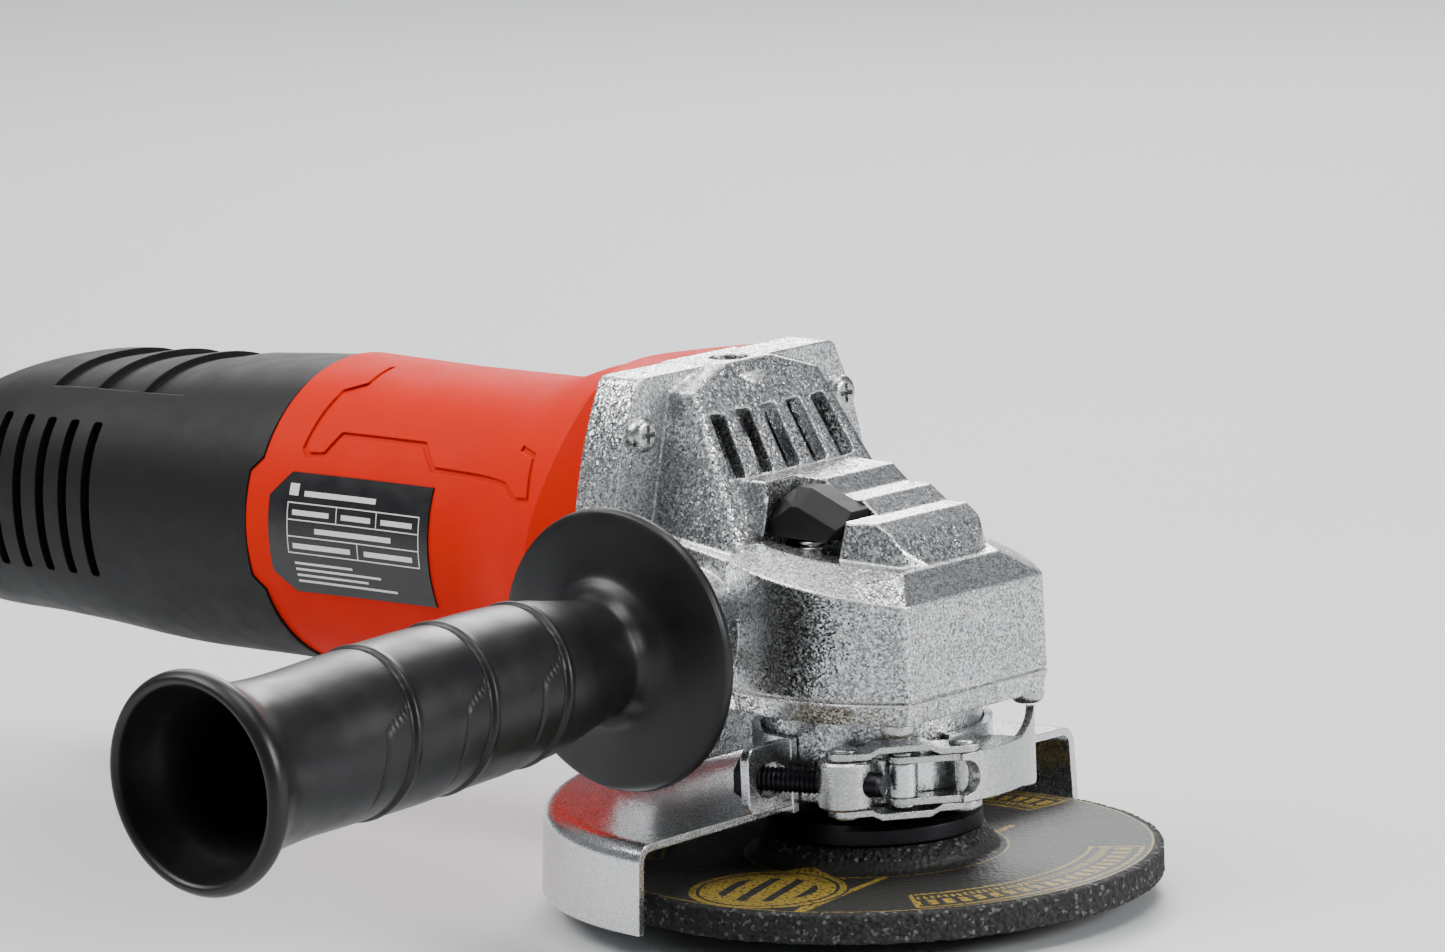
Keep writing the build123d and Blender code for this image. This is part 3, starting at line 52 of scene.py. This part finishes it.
# ---------------------------------------------------------------- node materials
class Finish:
    """A principled material whose node graph is built step by step in object coordinates, in metres."""

    def __init__(self, name, colour, metallic=0.0, roughness=0.5, **sockets):
        self.material = bpy.data.materials.new(name)
        self.material.use_nodes = True
        self.tree = self.material.node_tree
        self.shader = self.tree.nodes["Principled BSDF"]
        self.colour((*colour, 1))
        self.put(self.shader.inputs["Metallic"], metallic)
        self.rough(roughness)
        for socket, value in sockets.items():
            self.put(self.shader.inputs[socket.replace("_", " ")], value)
        self.place = self.node("ShaderNodeTexCoord").outputs["Object"]
        self.last_normal = None

    def put(self, socket, value):
        """Links a socket to a node's output, or sets it to a constant."""
        if isinstance(value, bpy.types.NodeSocket):
            self.tree.links.new(value, socket)
        elif value is not None:
            socket.default_value = value

    def node(self, kind, **inputs):
        """A new node with its named inputs put in; an underscore stands for a space."""
        node = self.tree.nodes.new(kind)
        for socket, value in inputs.items():
            self.put(node.inputs[socket.replace("_", " ")], value)
        return node

    def colour(self, value):
        self.put(self.shader.inputs["Base Color"], value)

    def rough(self, value):
        self.put(self.shader.inputs["Roughness"], value)

    def turn_normal(self, normal):
        self.last_normal = normal
        self.put(self.shader.inputs["Normal"], normal)

    def noise(self, scale, detail=3.0, roughness=0.55, stretch=None):
        place = self.place
        if stretch:
            place = self.node("ShaderNodeMapping", Vector=place, Scale=stretch).outputs["Vector"]
        node = self.node("ShaderNodeTexNoise", Vector=place, Scale=scale, Detail=detail, Roughness=roughness)
        return node.outputs["Fac"]

    def cells(self, scale, output="Color"):
        return self.node("ShaderNodeTexVoronoi", Vector=self.place, Scale=scale).outputs[output]

    def split(self, vector):
        return self.node("ShaderNodeSeparateXYZ", Vector=vector).outputs

    def math(self, operation, a, b=None, c=None, clamp=False):
        node = self.tree.nodes.new("ShaderNodeMath")
        node.operation = operation
        node.use_clamp = clamp
        for socket, value in zip(node.inputs, (a, b, c)):
            self.put(socket, value)
        return node.outputs[0]

    def above(self, value, limit):
        return self.math("GREATER_THAN", value, limit)

    def below(self, value, limit):
        return self.math("LESS_THAN", value, limit)

    def both(self, a, b):
        return self.math("MULTIPLY", a, b)

    def either(self, *masks):
        total = masks[0]
        for mask in masks[1:]:
            total = self.math("MAXIMUM", total, mask)
        return total

    def without(self, mask, cut):
        return self.math("SUBTRACT", mask, cut, clamp=True)

    def band(self, value, low, high):
        return self.both(self.above(value, low), self.below(value, high))

    def distance(self, x, y):
        return self.math("SQRT", self.math("ADD", self.math("MULTIPLY", x, x), self.math("MULTIPLY", y, y)))

    def waves(self, value, rate):
        return self.math("SINE", self.math("MULTIPLY", value, rate))

    def vector(self, operation, a, b=None, scale=None):
        node = self.tree.nodes.new("ShaderNodeVectorMath")
        node.operation = operation
        for socket, value in zip(node.inputs, (a, b)):
            self.put(socket, value)
        if scale is not None:
            self.put(node.inputs["Scale"], scale)
        return node.outputs["Value" if operation == "DOT_PRODUCT" else "Vector"]

    def remap(self, value, low, high, to_low, to_high):
        node = self.node("ShaderNodeMapRange", Value=value, From_Min=low, From_Max=high,
                         To_Min=to_low, To_Max=to_high)
        return node.outputs["Result"]

    def blend(self, factor, a, b):
        node = self.tree.nodes.new("ShaderNodeMix")
        node.data_type = "RGBA"
        factor_in, a_in, b_in = node.inputs[0], node.inputs[6], node.inputs[7]
        self.put(factor_in, factor)
        for socket, value in ((a_in, a), (b_in, b)):
            self.put(socket, (*value, 1) if isinstance(value, tuple) else value)
        return node.outputs[2]

    def mottle(self, scale, detail, smoothest, roughest):
        """Lets the roughness wander between two values in soft patches."""
        self.rough(self.remap(self.noise(scale, detail), 0.3, 0.7, smoothest, roughest))

    def soft_edges(self, radius):
        node = self.node("ShaderNodeBevel", Radius=radius)
        node.samples = 4
        self.turn_normal(node.outputs["Normal"])

    def bump(self, height, depth, strength):
        node = self.node("ShaderNodeBump", Height=height, Distance=depth, Strength=strength,
                         Normal=self.last_normal)
        self.turn_normal(node.outputs["Normal"])

    def edge_highlight_mask(self):
        """1 along the rounded edges, 0 on the faces; it places the painted edge highlight."""
        true_normal = self.node("ShaderNodeNewGeometry").outputs["Normal"]
        along = self.vector("DOT_PRODUCT", self.last_normal, true_normal)
        return self.remap(along, low=0.998, high=0.95, to_low=0, to_high=1)

    def facets(self, grains, tilt):
        """Tilts every grain its own way, so that some catch the light."""
        lean = self.vector("SCALE", self.vector("SUBTRACT", grains, (0.5, 0.5, 0.5)), scale=tilt)
        self.turn_normal(self.vector("NORMALIZE", self.vector("ADD", self.last_normal, lean)))


def shade(colour, gain):
    """The colour made darker or lighter."""
    return tuple(min(1.0, part * gain) for part in colour)


def speckled_metal(name, dark, light, rough, grain, tilt, edge):
    """Cast or sprayed silver: each grain has its own brightness and tilt, and the edges are painted brighter
    as a highlight.
    """
    finish = Finish(name, light, metallic=1.0)
    finish.soft_edges(edge)
    highlit_edges = finish.edge_highlight_mask()
    grains = finish.cells(grain)
    bright_draw, rough_draw, _ = finish.split(grains)
    cloud = finish.math("MULTIPLY", finish.noise(scale=140, detail=5), 0.24)
    spread = finish.math("POWER", bright_draw, 1.2)
    level = finish.math("MULTIPLY_ADD", spread, 0.9, cloud, clamp=True)
    # painted highlight: the rounded edges get a lighter silver (light times 1.12) in place of the grains'
    # colour
    finish.colour(finish.blend(highlit_edges, finish.blend(level, dark, light), shade(light, 1.12)))
    grain_rough = finish.remap(rough_draw, 0, 1, *rough)
    # the same edge mask also makes the edges a little smoother
    finish.rough(finish.math("MULTIPLY_ADD", highlit_edges, -0.08, grain_rough))
    finish.facets(grains, tilt)
    finish.bump(finish.noise(scale=420), depth=0.00012, strength=0.35)
    return finish.material


def turned_steel(name, colour, roughness):
    """Turned or ground metal with fine marks."""
    finish = Finish(name, colour, 1.0, roughness)
    finish.soft_edges(0.0003)
    marks = finish.noise(scale=900, detail=5, stretch=(1, 1, 12))
    finish.colour(finish.blend(marks, shade(colour, 0.72), shade(colour, 1.12)))
    finish.mottle(scale=300, detail=4, smoothest=roughness - 0.08, roughest=roughness + 0.12)
    finish.bump(marks, depth=0.00002, strength=0.6)
    return finish.material


def moulded(name, colour, roughness, grain, depth, wave=0.0, **sockets):
    """Moulded plastic: spark-eroded grain, handling wear and, with a wave depth, faint flow marks."""
    finish = Finish(name, colour, 0.0, roughness, **sockets)
    finish.soft_edges(0.0004)
    finish.colour(finish.blend(finish.noise(scale=60, detail=4), shade(colour, 0.9), shade(colour, 1.1)))
    finish.mottle(scale=150, detail=5, smoothest=roughness - 0.05, roughest=roughness + 0.07)
    finish.bump(finish.noise(grain, detail=4, roughness=0.6), depth, strength=0.8)
    if wave:
        finish.bump(finish.noise(scale=45, detail=2), wave, strength=0.5)
    return finish.material


finishes = {
    "cast_housing": speckled_metal(
        "cast_silver", dark=(0.15, 0.155, 0.16), light=(0.96, 0.97, 0.98),
        rough=(0.20, 0.42), grain=2700, tilt=0.30, edge=0.0008),
    "guard_steel": speckled_metal(
        "guard_silver", dark=(0.55, 0.56, 0.57), light=(0.82, 0.83, 0.84),
        rough=(0.18, 0.30), grain=4200, tilt=0.10, edge=0.0004),
    "zinc": speckled_metal(
        "zinc_plate", dark=(0.38, 0.385, 0.38), light=(0.66, 0.67, 0.66),
        rough=(0.20, 0.36), grain=4200, tilt=0.16, edge=0.0003),
    "red_plastic": moulded(
        "red_shell", (0.64, 0.011, 0.0003), 0.55, grain=1500, depth=0.00002, wave=0.00012,
        Specular_IOR_Level=0.07),
    "black_plastic": moulded(
        "black_shell", (0.005, 0.005, 0.0055), 0.52, grain=2200, depth=0.00004, Specular_IOR_Level=0.28),
    "black_gloss": moulded("black_smooth", (0.012, 0.012, 0.013), 0.25, grain=1500, depth=0.00001),
    "grip_plastic": moulded(
        "grip_black", (0.006, 0.006, 0.0065), 0.36, grain=1700, depth=0.000025, wave=0.0001,
        Specular_IOR_Level=0.38),
    "rubber": moulded("rubber_sleeve", (0.015, 0.015, 0.015), 0.7, grain=1200, depth=0.00004),
    "carbon": moulded("graphite", (0.02, 0.02, 0.02), 0.5, grain=1500, depth=0.00003),
    "steel": turned_steel("turned_steel", (0.55, 0.55, 0.54), 0.28),
    "hardened_steel": turned_steel("ground_steel", (0.36, 0.36, 0.37), 0.3),
    "black_steel": turned_steel("black_oxide", (0.035, 0.035, 0.04), 0.35),
    "spring_steel": turned_steel("spring_wire", (0.45, 0.45, 0.45), 0.3),
    "bronze": turned_steel("sintered_bronze", (0.45, 0.26, 0.10), 0.42),
    "copper": turned_steel("enamelled_copper", (0.55, 0.18, 0.06), 0.3),
    "brass": turned_steel("pressed_brass", (0.62, 0.42, 0.14), 0.28),
    "lamination": turned_steel("lamination_stack", (0.34, 0.34, 0.35), 0.45),
}


def label_print(finish, x, y, radius):
    """Print of the disc's label, without letters: rings, framed rows of bars, a slotted patch and lines."""
    turn = finish.math("ARCTAN2", y, x)

    def sectors(inset):
        """The three parts of the turn that have frames, each made smaller by inset degrees at its ends."""
        spans = ((-41, 34), (84, 140), (-172, -134))
        return finish.either(*(finish.band(turn, radians(a + inset), radians(b - inset)) for a, b in spans))

    def bars(inner, outer, count, share):
        """A row of short bars round the disc; a lower share makes wider bars."""
        return finish.both(finish.band(radius, inner, outer), finish.above(finish.waves(turn, count), share))

    def line(lean, offset, half):
        """A straight line across the label."""
        off = finish.math("SUBTRACT", finish.math("MULTIPLY_ADD", y, lean, x), offset)
        return finish.below(finish.math("ABSOLUTE", off), half)

    inner_ring, outer_ring = (0.0262, 0.0266), (0.0549, 0.0553)
    rings = finish.either(finish.band(radius, *outer_ring), finish.band(radius, *inner_ring))

    frames = finish.both(finish.band(radius, 0.0425, 0.0538), sectors(inset=0))
    insides = finish.both(finish.band(radius, 0.0433, 0.0530), sectors(inset=1))
    fine_row, bold_row = bars(0.0448, 0.0468, 210.0, -0.1), bars(0.0478, 0.0516, 96.0, -0.3)
    rows = finish.both(insides, finish.either(fine_row, bold_row))

    patch_x, patch_y, patch_radius = 0.006, -0.0395, 0.0155
    from_patch = finish.distance(finish.math("SUBTRACT", x, patch_x), finish.math("SUBTRACT", y, patch_y))
    patch = finish.without(finish.below(from_patch, patch_radius), finish.band(from_patch, 0.0134, 0.0141))
    slant = finish.math("MULTIPLY_ADD", y, 0.35, x)
    slots = finish.both(finish.below(from_patch, 0.0098), finish.above(finish.waves(slant, 1100.0), 0.35))

    lines = finish.either(line(0.165, 0.0153, 0.0008), line(0.42, 0.0020, 0.0007))
    lines = finish.both(lines, finish.band(radius, inner_ring[1], outer_ring[0]))
    lines = finish.both(lines, finish.below(y, 0.030))
    lines = finish.without(lines, finish.below(from_patch, patch_radius + 0.0007))
    return finish.either(rings, finish.without(frames, insides), rows, lines, finish.without(patch, slots))


def disc_finish():
    """Bonded abrasive with a worn, printed paper label on its upper face."""
    finish = Finish("abrasive_disc", (0.03, 0.03, 0.03), 0.0, 0.75)
    x, y, z = finish.split(finish.place)
    radius = finish.distance(x, y)
    labelled = finish.both(finish.band(radius, 0.0235, 0.0555), finish.above(z, 0.0095))

    sparkle_draw, shade_draw, _ = finish.split(finish.cells(1500))
    body = finish.blend(shade_draw, (0.006, 0.006, 0.007), (0.034, 0.033, 0.033))
    body = finish.blend(finish.above(sparkle_draw, 0.92), body, (0.13, 0.125, 0.12))
    kept_print = finish.above(finish.noise(scale=1300, detail=5), 0.44)
    printed = finish.both(label_print(finish, x, y, radius), kept_print)
    gold = finish.blend(finish.noise(scale=900, detail=4), (0.20, 0.13, 0.010), (0.44, 0.31, 0.045))
    paper = finish.blend(finish.noise(scale=1500, detail=4), (0.004, 0.004, 0.004), (0.040, 0.038, 0.034))
    finish.colour(finish.blend(labelled, body, finish.blend(printed, paper, gold)))
    finish.rough(finish.math("MULTIPLY_ADD", labelled, -0.22, 0.8))

    share = finish.math("MULTIPLY_ADD", labelled, -0.70, 1.0)
    relief = finish.math("MULTIPLY", share, finish.cells(900, "Distance"))
    finish.bump(relief, depth=0.0006, strength=1.0)
    # the glass mesh shows through the paper
    weave = finish.math("MULTIPLY", finish.waves(x, 2600.0), finish.waves(y, 2600.0))
    finish.bump(weave, depth=0.00004, strength=0.5)
    return finish.material


def plate_finish():
    """A black label with a generic table of white rules and bars."""
    finish = Finish("rating_label", (0.01, 0.01, 0.011), 0.0, 0.3)
    x, _, z = finish.split(finish.place)
    rule, bar_height, thin_bar = 0.25, 1.1, 0.5
    table_left, table_right, table_foot, table_top = -131.0, -93.0, 62.9, 73.6

    def bar(x0, x1, z0, z1):
        """1 inside a rectangle of the plate, given in millimetres."""
        return finish.both(finish.band(x, x0 * MM, x1 * MM), finish.band(z, z0 * MM, z1 * MM))

    bars = [bar(table_left, table_right, level, level + rule) for level in (73.4, 69.9, 66.4, table_foot)]
    bars += [bar(side, side + rule, table_foot, table_top) for side in (table_left, -93.2)]
    bars += [bar(place, place + rule, base, base + 3.5)
             for place, base in ((-117.0, 70.0), (-105.5, 70.0), (-111.0, 63.0))]
    bars += [bar(x0, x1, z0, z0 + bar_height) for x0, x1, z0 in (
        (-129.5, -119.0, 71.0), (-115.5, -107.0, 71.0), (-104.0, -95.0, 71.0), (-123.0, -101.0, 67.5),
        (-129.5, -113.0, 64.0), (-109.0, -95.0, 64.0), (-126.5, -106.0, 75.0))]
    for row, x1 in enumerate((-113.0, -105.0, -109.0, -101.0)):
        foot = 1.3 * row
        bars.append(bar(-129.5, x1, 60.6 - foot, 60.6 + thin_bar - foot))
    bars.append(bar(-130.8, -128.2, 75.0, 77.4))

    finish.colour(finish.blend(finish.either(*bars), (0.010, 0.010, 0.011), (0.75, 0.75, 0.74)))
    finish.bump(finish.noise(scale=1500), depth=0.00001, strength=0.5)
    finish.mottle(scale=200, detail=4, smoothest=0.24, roughest=0.4)
    return finish.material


finishes["abrasive"] = disc_finish()
finishes["plate"] = plate_finish()

slot_of = {entry["node"]: entry["material_slot"] for entry in frame["record"]["subparts"]}
for name, node in nodes.items():
    for slot in node.material_slots:
        slot.material = finishes["black_steel" if name == "inner_flange" else slot_of[name]]


# ---------------------------------------------------------------- turned pieces with fine relief
def mesh_object(name, verts, faces, smooth=True):
    mesh = bpy.data.meshes.new(name)
    mesh.from_pydata(verts, [], faces)
    if smooth:
        mesh.shade_smooth()
    obj = bpy.data.objects.new(name, mesh)
    bpy.context.scene.collection.objects.link(obj)
    return obj


def curved(points, step):
    """Points along a Catmull-Rom curve, about step apart."""
    out = []
    ends = [points[0]] + list(points) + [points[-1]]
    for a, b, c, d in zip(ends, ends[1:], ends[2:], ends[3:]):
        a, b, c, d = Vector(a), Vector(b), Vector(c), Vector(d)
        first, second, third = c - a, 2 * a - 5 * b + 4 * c - d, 3 * b - a - 3 * c + d
        count = max(1, round((c - b).length / step))
        for i in range(count):
            t = i / count
            out.append(0.5 * (2 * b + first * t + second * t**2 + third * t**3))
    return out + [Vector(points[-1])]


def straight(points, step):
    """Points along straight runs, about step apart."""
    out = []
    for a, b in zip(points, points[1:]):
        a, b = Vector(a), Vector(b)
        count = max(1, round((b - a).length / step))
        out += [a.lerp(b, i / count) for i in range(count)]
    return out + [Vector(points[-1])]


def ease(value, low, high):
    """0 at low, 1 at high, with a smooth run between them."""
    t = min(1.0, max(0.0, (value - low) / (high - low)))
    return t * t * (3 - 2 * t)


def bell(offset, width):
    """1 in the middle, falling away on both sides."""
    return exp(-((offset / width) ** 2))


def lathe(name, profile, count, seat, axis, start, relief):
    """Turns a closed profile of (radius, reach) in millimetres about an axis, in count steps.

    relief gives how far each point moves along its normal.
    """
    side = axis.cross(start)
    last = len(profile) - 1
    verts = []
    for index in range(last):
        before, after = profile[index - 1 if index else last - 1], profile[index + 1]
        point, run = profile[index], (after - before).normalized()
        normal = Vector((run.y, -run.x))
        for i in range(count):
            turn = 2 * pi * i / count
            moved = point + normal * relief(point.x, point.y, turn)
            out = start * cos(turn) + side * sin(turn)
            verts.append(seat + MM * (axis * moved.y + moved.x * out))
    faces = []
    for r in range(last):
        low, high = r * count, ((r + 1) % last) * count
        for i in range(count):
            j = (i + 1) % count
            faces.append((low + i, low + j, high + j, high + i))
    return mesh_object(name, verts, faces)


handle_seat = Vector((-0.0193, -0.0376, 0.0578))
handle_axis = Vector((0.05, -1, -0.03)).normalized()
handle_up = (Vector((0, 0, 1)) - handle_axis * handle_axis.z).normalized()


def grip_relief(radius, reach, turn):
    """The wrap-around steps of the grip: leaning rings, each with a jogged line beside it."""
    barrel_radius, barrel_start, barrel_end = 13.3, 30, 112
    if radius < barrel_radius or not barrel_start < reach < barrel_end:
        return 0.0
    step_depth, step_width = 0.28, 9
    groove_depth, groove_width = 0.42, 0.38
    shoulder_height, shoulder_width, shoulder_back = 0.30, 0.7, 1.0
    line_depth, line_width, line_span = 0.34, 0.36, 76
    across = degrees(turn)
    depth = 0.0
    for ring in (50.0, 72.0, 94.0):
        edge = ring - 1.4 - 2.8 * cos(radians(across - 5))
        past = reach - edge
        depth -= groove_depth * bell(past, groove_width)
        depth += shoulder_height * bell(past + shoulder_back, shoulder_width)
        if 0 < past < step_width:
            depth -= step_depth * (1 - past / step_width) ** 2
        for begin in (64.0, 244.0):
            local = (360 - across - begin) % 360
            if local < line_span:
                jog = edge + 1.2 + 5.8 * ease(local, 0, 15)
                depth -= line_depth * ease(line_span - local, 0, 26) * bell(reach - jog, line_width)
    return depth


# (radius, reach) in turn: the foot, the bell's inner face, the bell, waist, barrel and flared end, the end's
# rim, and the bore on the way back
grip_profile = straight([(6.6, 0.1), (6.9, 0.4), (9.0, 11.4)], 1.0)[:-1]
grip_profile += curved([(9.0, 11.4), (9.9, 12.8), (12.0, 13.5), (20.0, 13.7), (26.4, 13.8)], 0.8)[:-1]
grip_profile += curved([
    (26.4, 13.8), (27.7, 14.1), (28.25, 15.0), (28.1, 16.2), (26.6, 17.1), (17.0, 19.0), (14.2, 20.6),
    (12.7, 23.0), (12.2, 26.0), (13.6, 34.0), (15.0, 41.0), (15.7, 48.0), (16.1, 62.0), (16.2, 88.0),
    (15.8, 104.0), (15.7, 112.0), (16.1, 120.0), (17.1, 126.0), (19.4, 130.6), (20.8, 132.2),
], 0.3)[:-1]
grip_profile += curved([
    (20.8, 132.2), (21.25, 133.4), (21.1, 135.0), (20.3, 136.2), (19.4, 136.4), (18.7, 135.9), (18.4, 135.0),
], 0.25)[:-1]
grip_profile += curved([
    (18.4, 135.0), (17.8, 132.6), (16.6, 129.5), (14.9, 126.0), (13.6, 121.0), (12.9, 110.0), (12.8, 90.0),
    (12.6, 46.0), (12.0, 43.2), (10.0, 42.3), (4.0, 42.0),
], 0.9)
grip_profile += straight([(4.0, 42.0), (4.0, 0.1), (6.6, 0.1)], 2.0)[1:]
grip = lathe("side_handle_grip", grip_profile, 168, handle_seat, handle_axis, handle_up, grip_relief)
grip.data.materials.append(finishes["grip_plastic"])
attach(grip, "side_handle")
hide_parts("handle_grip")


def grit(radius, height, turn):
    """Grain of the bonded abrasive: deep at the rim and below, shallow under the label."""
    place = Vector((radius * cos(turn), radius * sin(turn), height))
    grain = noise.noise(place * 1.3) + 0.8 * noise.noise(place * 2.9)
    label_height, label_radius = 9.7, 56.3
    if height > label_height and radius < label_radius:
        sag = 0.10 * min(0.0, noise.noise(place * 0.12) * 2)
        return -0.05 + 0.03 * grain + sag
    return -0.32 + 0.28 * max(-1.0, min(1.0, grain))


# (radius, height) in turn: the recess under the hub, the underside, the rim, the labelled face and the hub
disc_profile = straight([
    (11.1, 8.2), (20.5, 8.2), (27.5, 3.6), (56.9, 3.6), (57.5, 4.1), (57.5, 9.5), (57.0, 10.0), (26.2, 10.0),
    (24.9, 10.6), (22.3, 14.0), (21.0, 14.6), (11.1, 14.6), (11.1, 8.2),
], 0.55)
disc = lathe("grinding_disc_body", disc_profile, 600, Vector(), Vector((0, 0, 1)), Vector((1, 0, 0)), grit)
disc.data.materials.append(finishes["abrasive"])
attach(disc, "spindle")
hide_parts("grinding_disc")


# ---------------------------------------------------------------- spring under the lock button
def coil(name, foot, radius, wire, height, turns):
    """A round wire wound about a vertical axis from its foot, as a closed mesh; sizes in millimetres."""
    steps, sides = 96, 12
    rise = (height - 2 * wire) / steps
    verts, faces = [], []
    for i in range(steps + 1):
        turn = 2 * pi * turns * i / steps
        out = Vector((cos(turn), sin(turn), 0))
        centre = out * radius + Vector((0, 0, wire + rise * i))
        for k in range(sides):
            lean = 2 * pi * k / sides
            verts.append(foot + MM * (centre + wire * (out * cos(lean) + Vector((0, 0, sin(lean))))))
    for i in range(steps):
        for k in range(sides):
            low, next_low = i * sides + k, i * sides + (k + 1) % sides
            faces.append((low, low + sides, next_low + sides, next_low))
    faces.append(tuple(range(sides)))
    faces.append(tuple(range(steps * sides + sides - 1, steps * sides - 1, -1)))
    return mesh_object(name, verts, faces)


spring_foot = Vector((-0.0024, -0.0122, 0.0716))
spring = coil("lock_button_spring", spring_foot, radius=2.9, wire=0.3, height=2.9, turns=2)
spring.data.materials.append(finishes["spring_steel"])
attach(spring, "housing")
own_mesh(spring)
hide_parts("lock_spring")

# ---------------------------------------------------------------- camera, floor and light
right = Vector((0.7404, 0.6711, -0.0392))
up = Vector((-0.085, 0.1513, 0.9848))
back = Vector((0.6668, -0.7258, 0.1691))
camera_place = Matrix.Translation((0.8754, -0.9941, 0.3136))
camera = bpy.data.objects.new("camera", bpy.data.cameras.new("camera"))
camera.matrix_world = camera_place @ Matrix((right, up, back)).transposed().to_4x4()
camera.data.sensor_width = 36
camera.data.lens = 169.07
camera.data.clip_start = 0.05
bpy.context.scene.collection.objects.link(camera)
bpy.context.scene.camera = camera

floor_half, floor_level = 15, -0.0005
floor_corners = [(side_x * floor_half, side_y * floor_half, floor_level)
                 for side_x, side_y in ((-1, -1), (1, -1), (1, 1), (-1, 1))]
floor = mesh_object("floor", floor_corners, [(0, 1, 2, 3)], smooth=False)
floor_paint = Finish("floor_paint", (0.62, 0.63, 0.64), 0.0, 0.6)
floor_paint.mottle(scale=3, detail=3, smoothest=0.55, roughest=0.65)
floor.data.materials.append(floor_paint.material)

world = bpy.data.worlds.new("studio")
world.use_nodes = True
sky = world.node_tree.nodes["Background"]
sky.inputs["Color"].default_value = (0.82, 0.86, 0.92, 1)
sky.inputs["Strength"].default_value = 0.22
bpy.context.scene.world = world

lamp_target = Vector((-0.05, -0.03, 0.05))


def shine(name, kind, place, power, **settings):
    """A lamp at a place, turned to the tool."""
    lamp = bpy.data.lights.new(name, kind)
    lamp.energy = power
    for key, value in settings.items():
        setattr(lamp, key, value)
    holder = bpy.data.objects.new(name, lamp)
    holder.location = place
    holder.rotation_euler = (lamp_target - Vector(place)).to_track_quat("-Z", "Y").to_euler()
    bpy.context.scene.collection.objects.link(holder)


shine("ambient", "SUN", (-1.0, -1.4, 3.2), 1.3, angle=radians(50))
shine("key", "AREA", (-0.75, -0.70, 1.15), 15.0, size=0.7)
shine("top", "AREA", (0.25, 0.15, 1.3), 9.0, size=0.6)
shine("nose", "AREA", (1.25, 0.45, 0.60), 15.0, size=0.5)
shine("rim", "AREA", (-0.9, 1.2, 0.9), 12.0, size=0.6)
shine("backdrop", "AREA", (-2.4, 2.6, 2.6), 90.0, size=3.0)
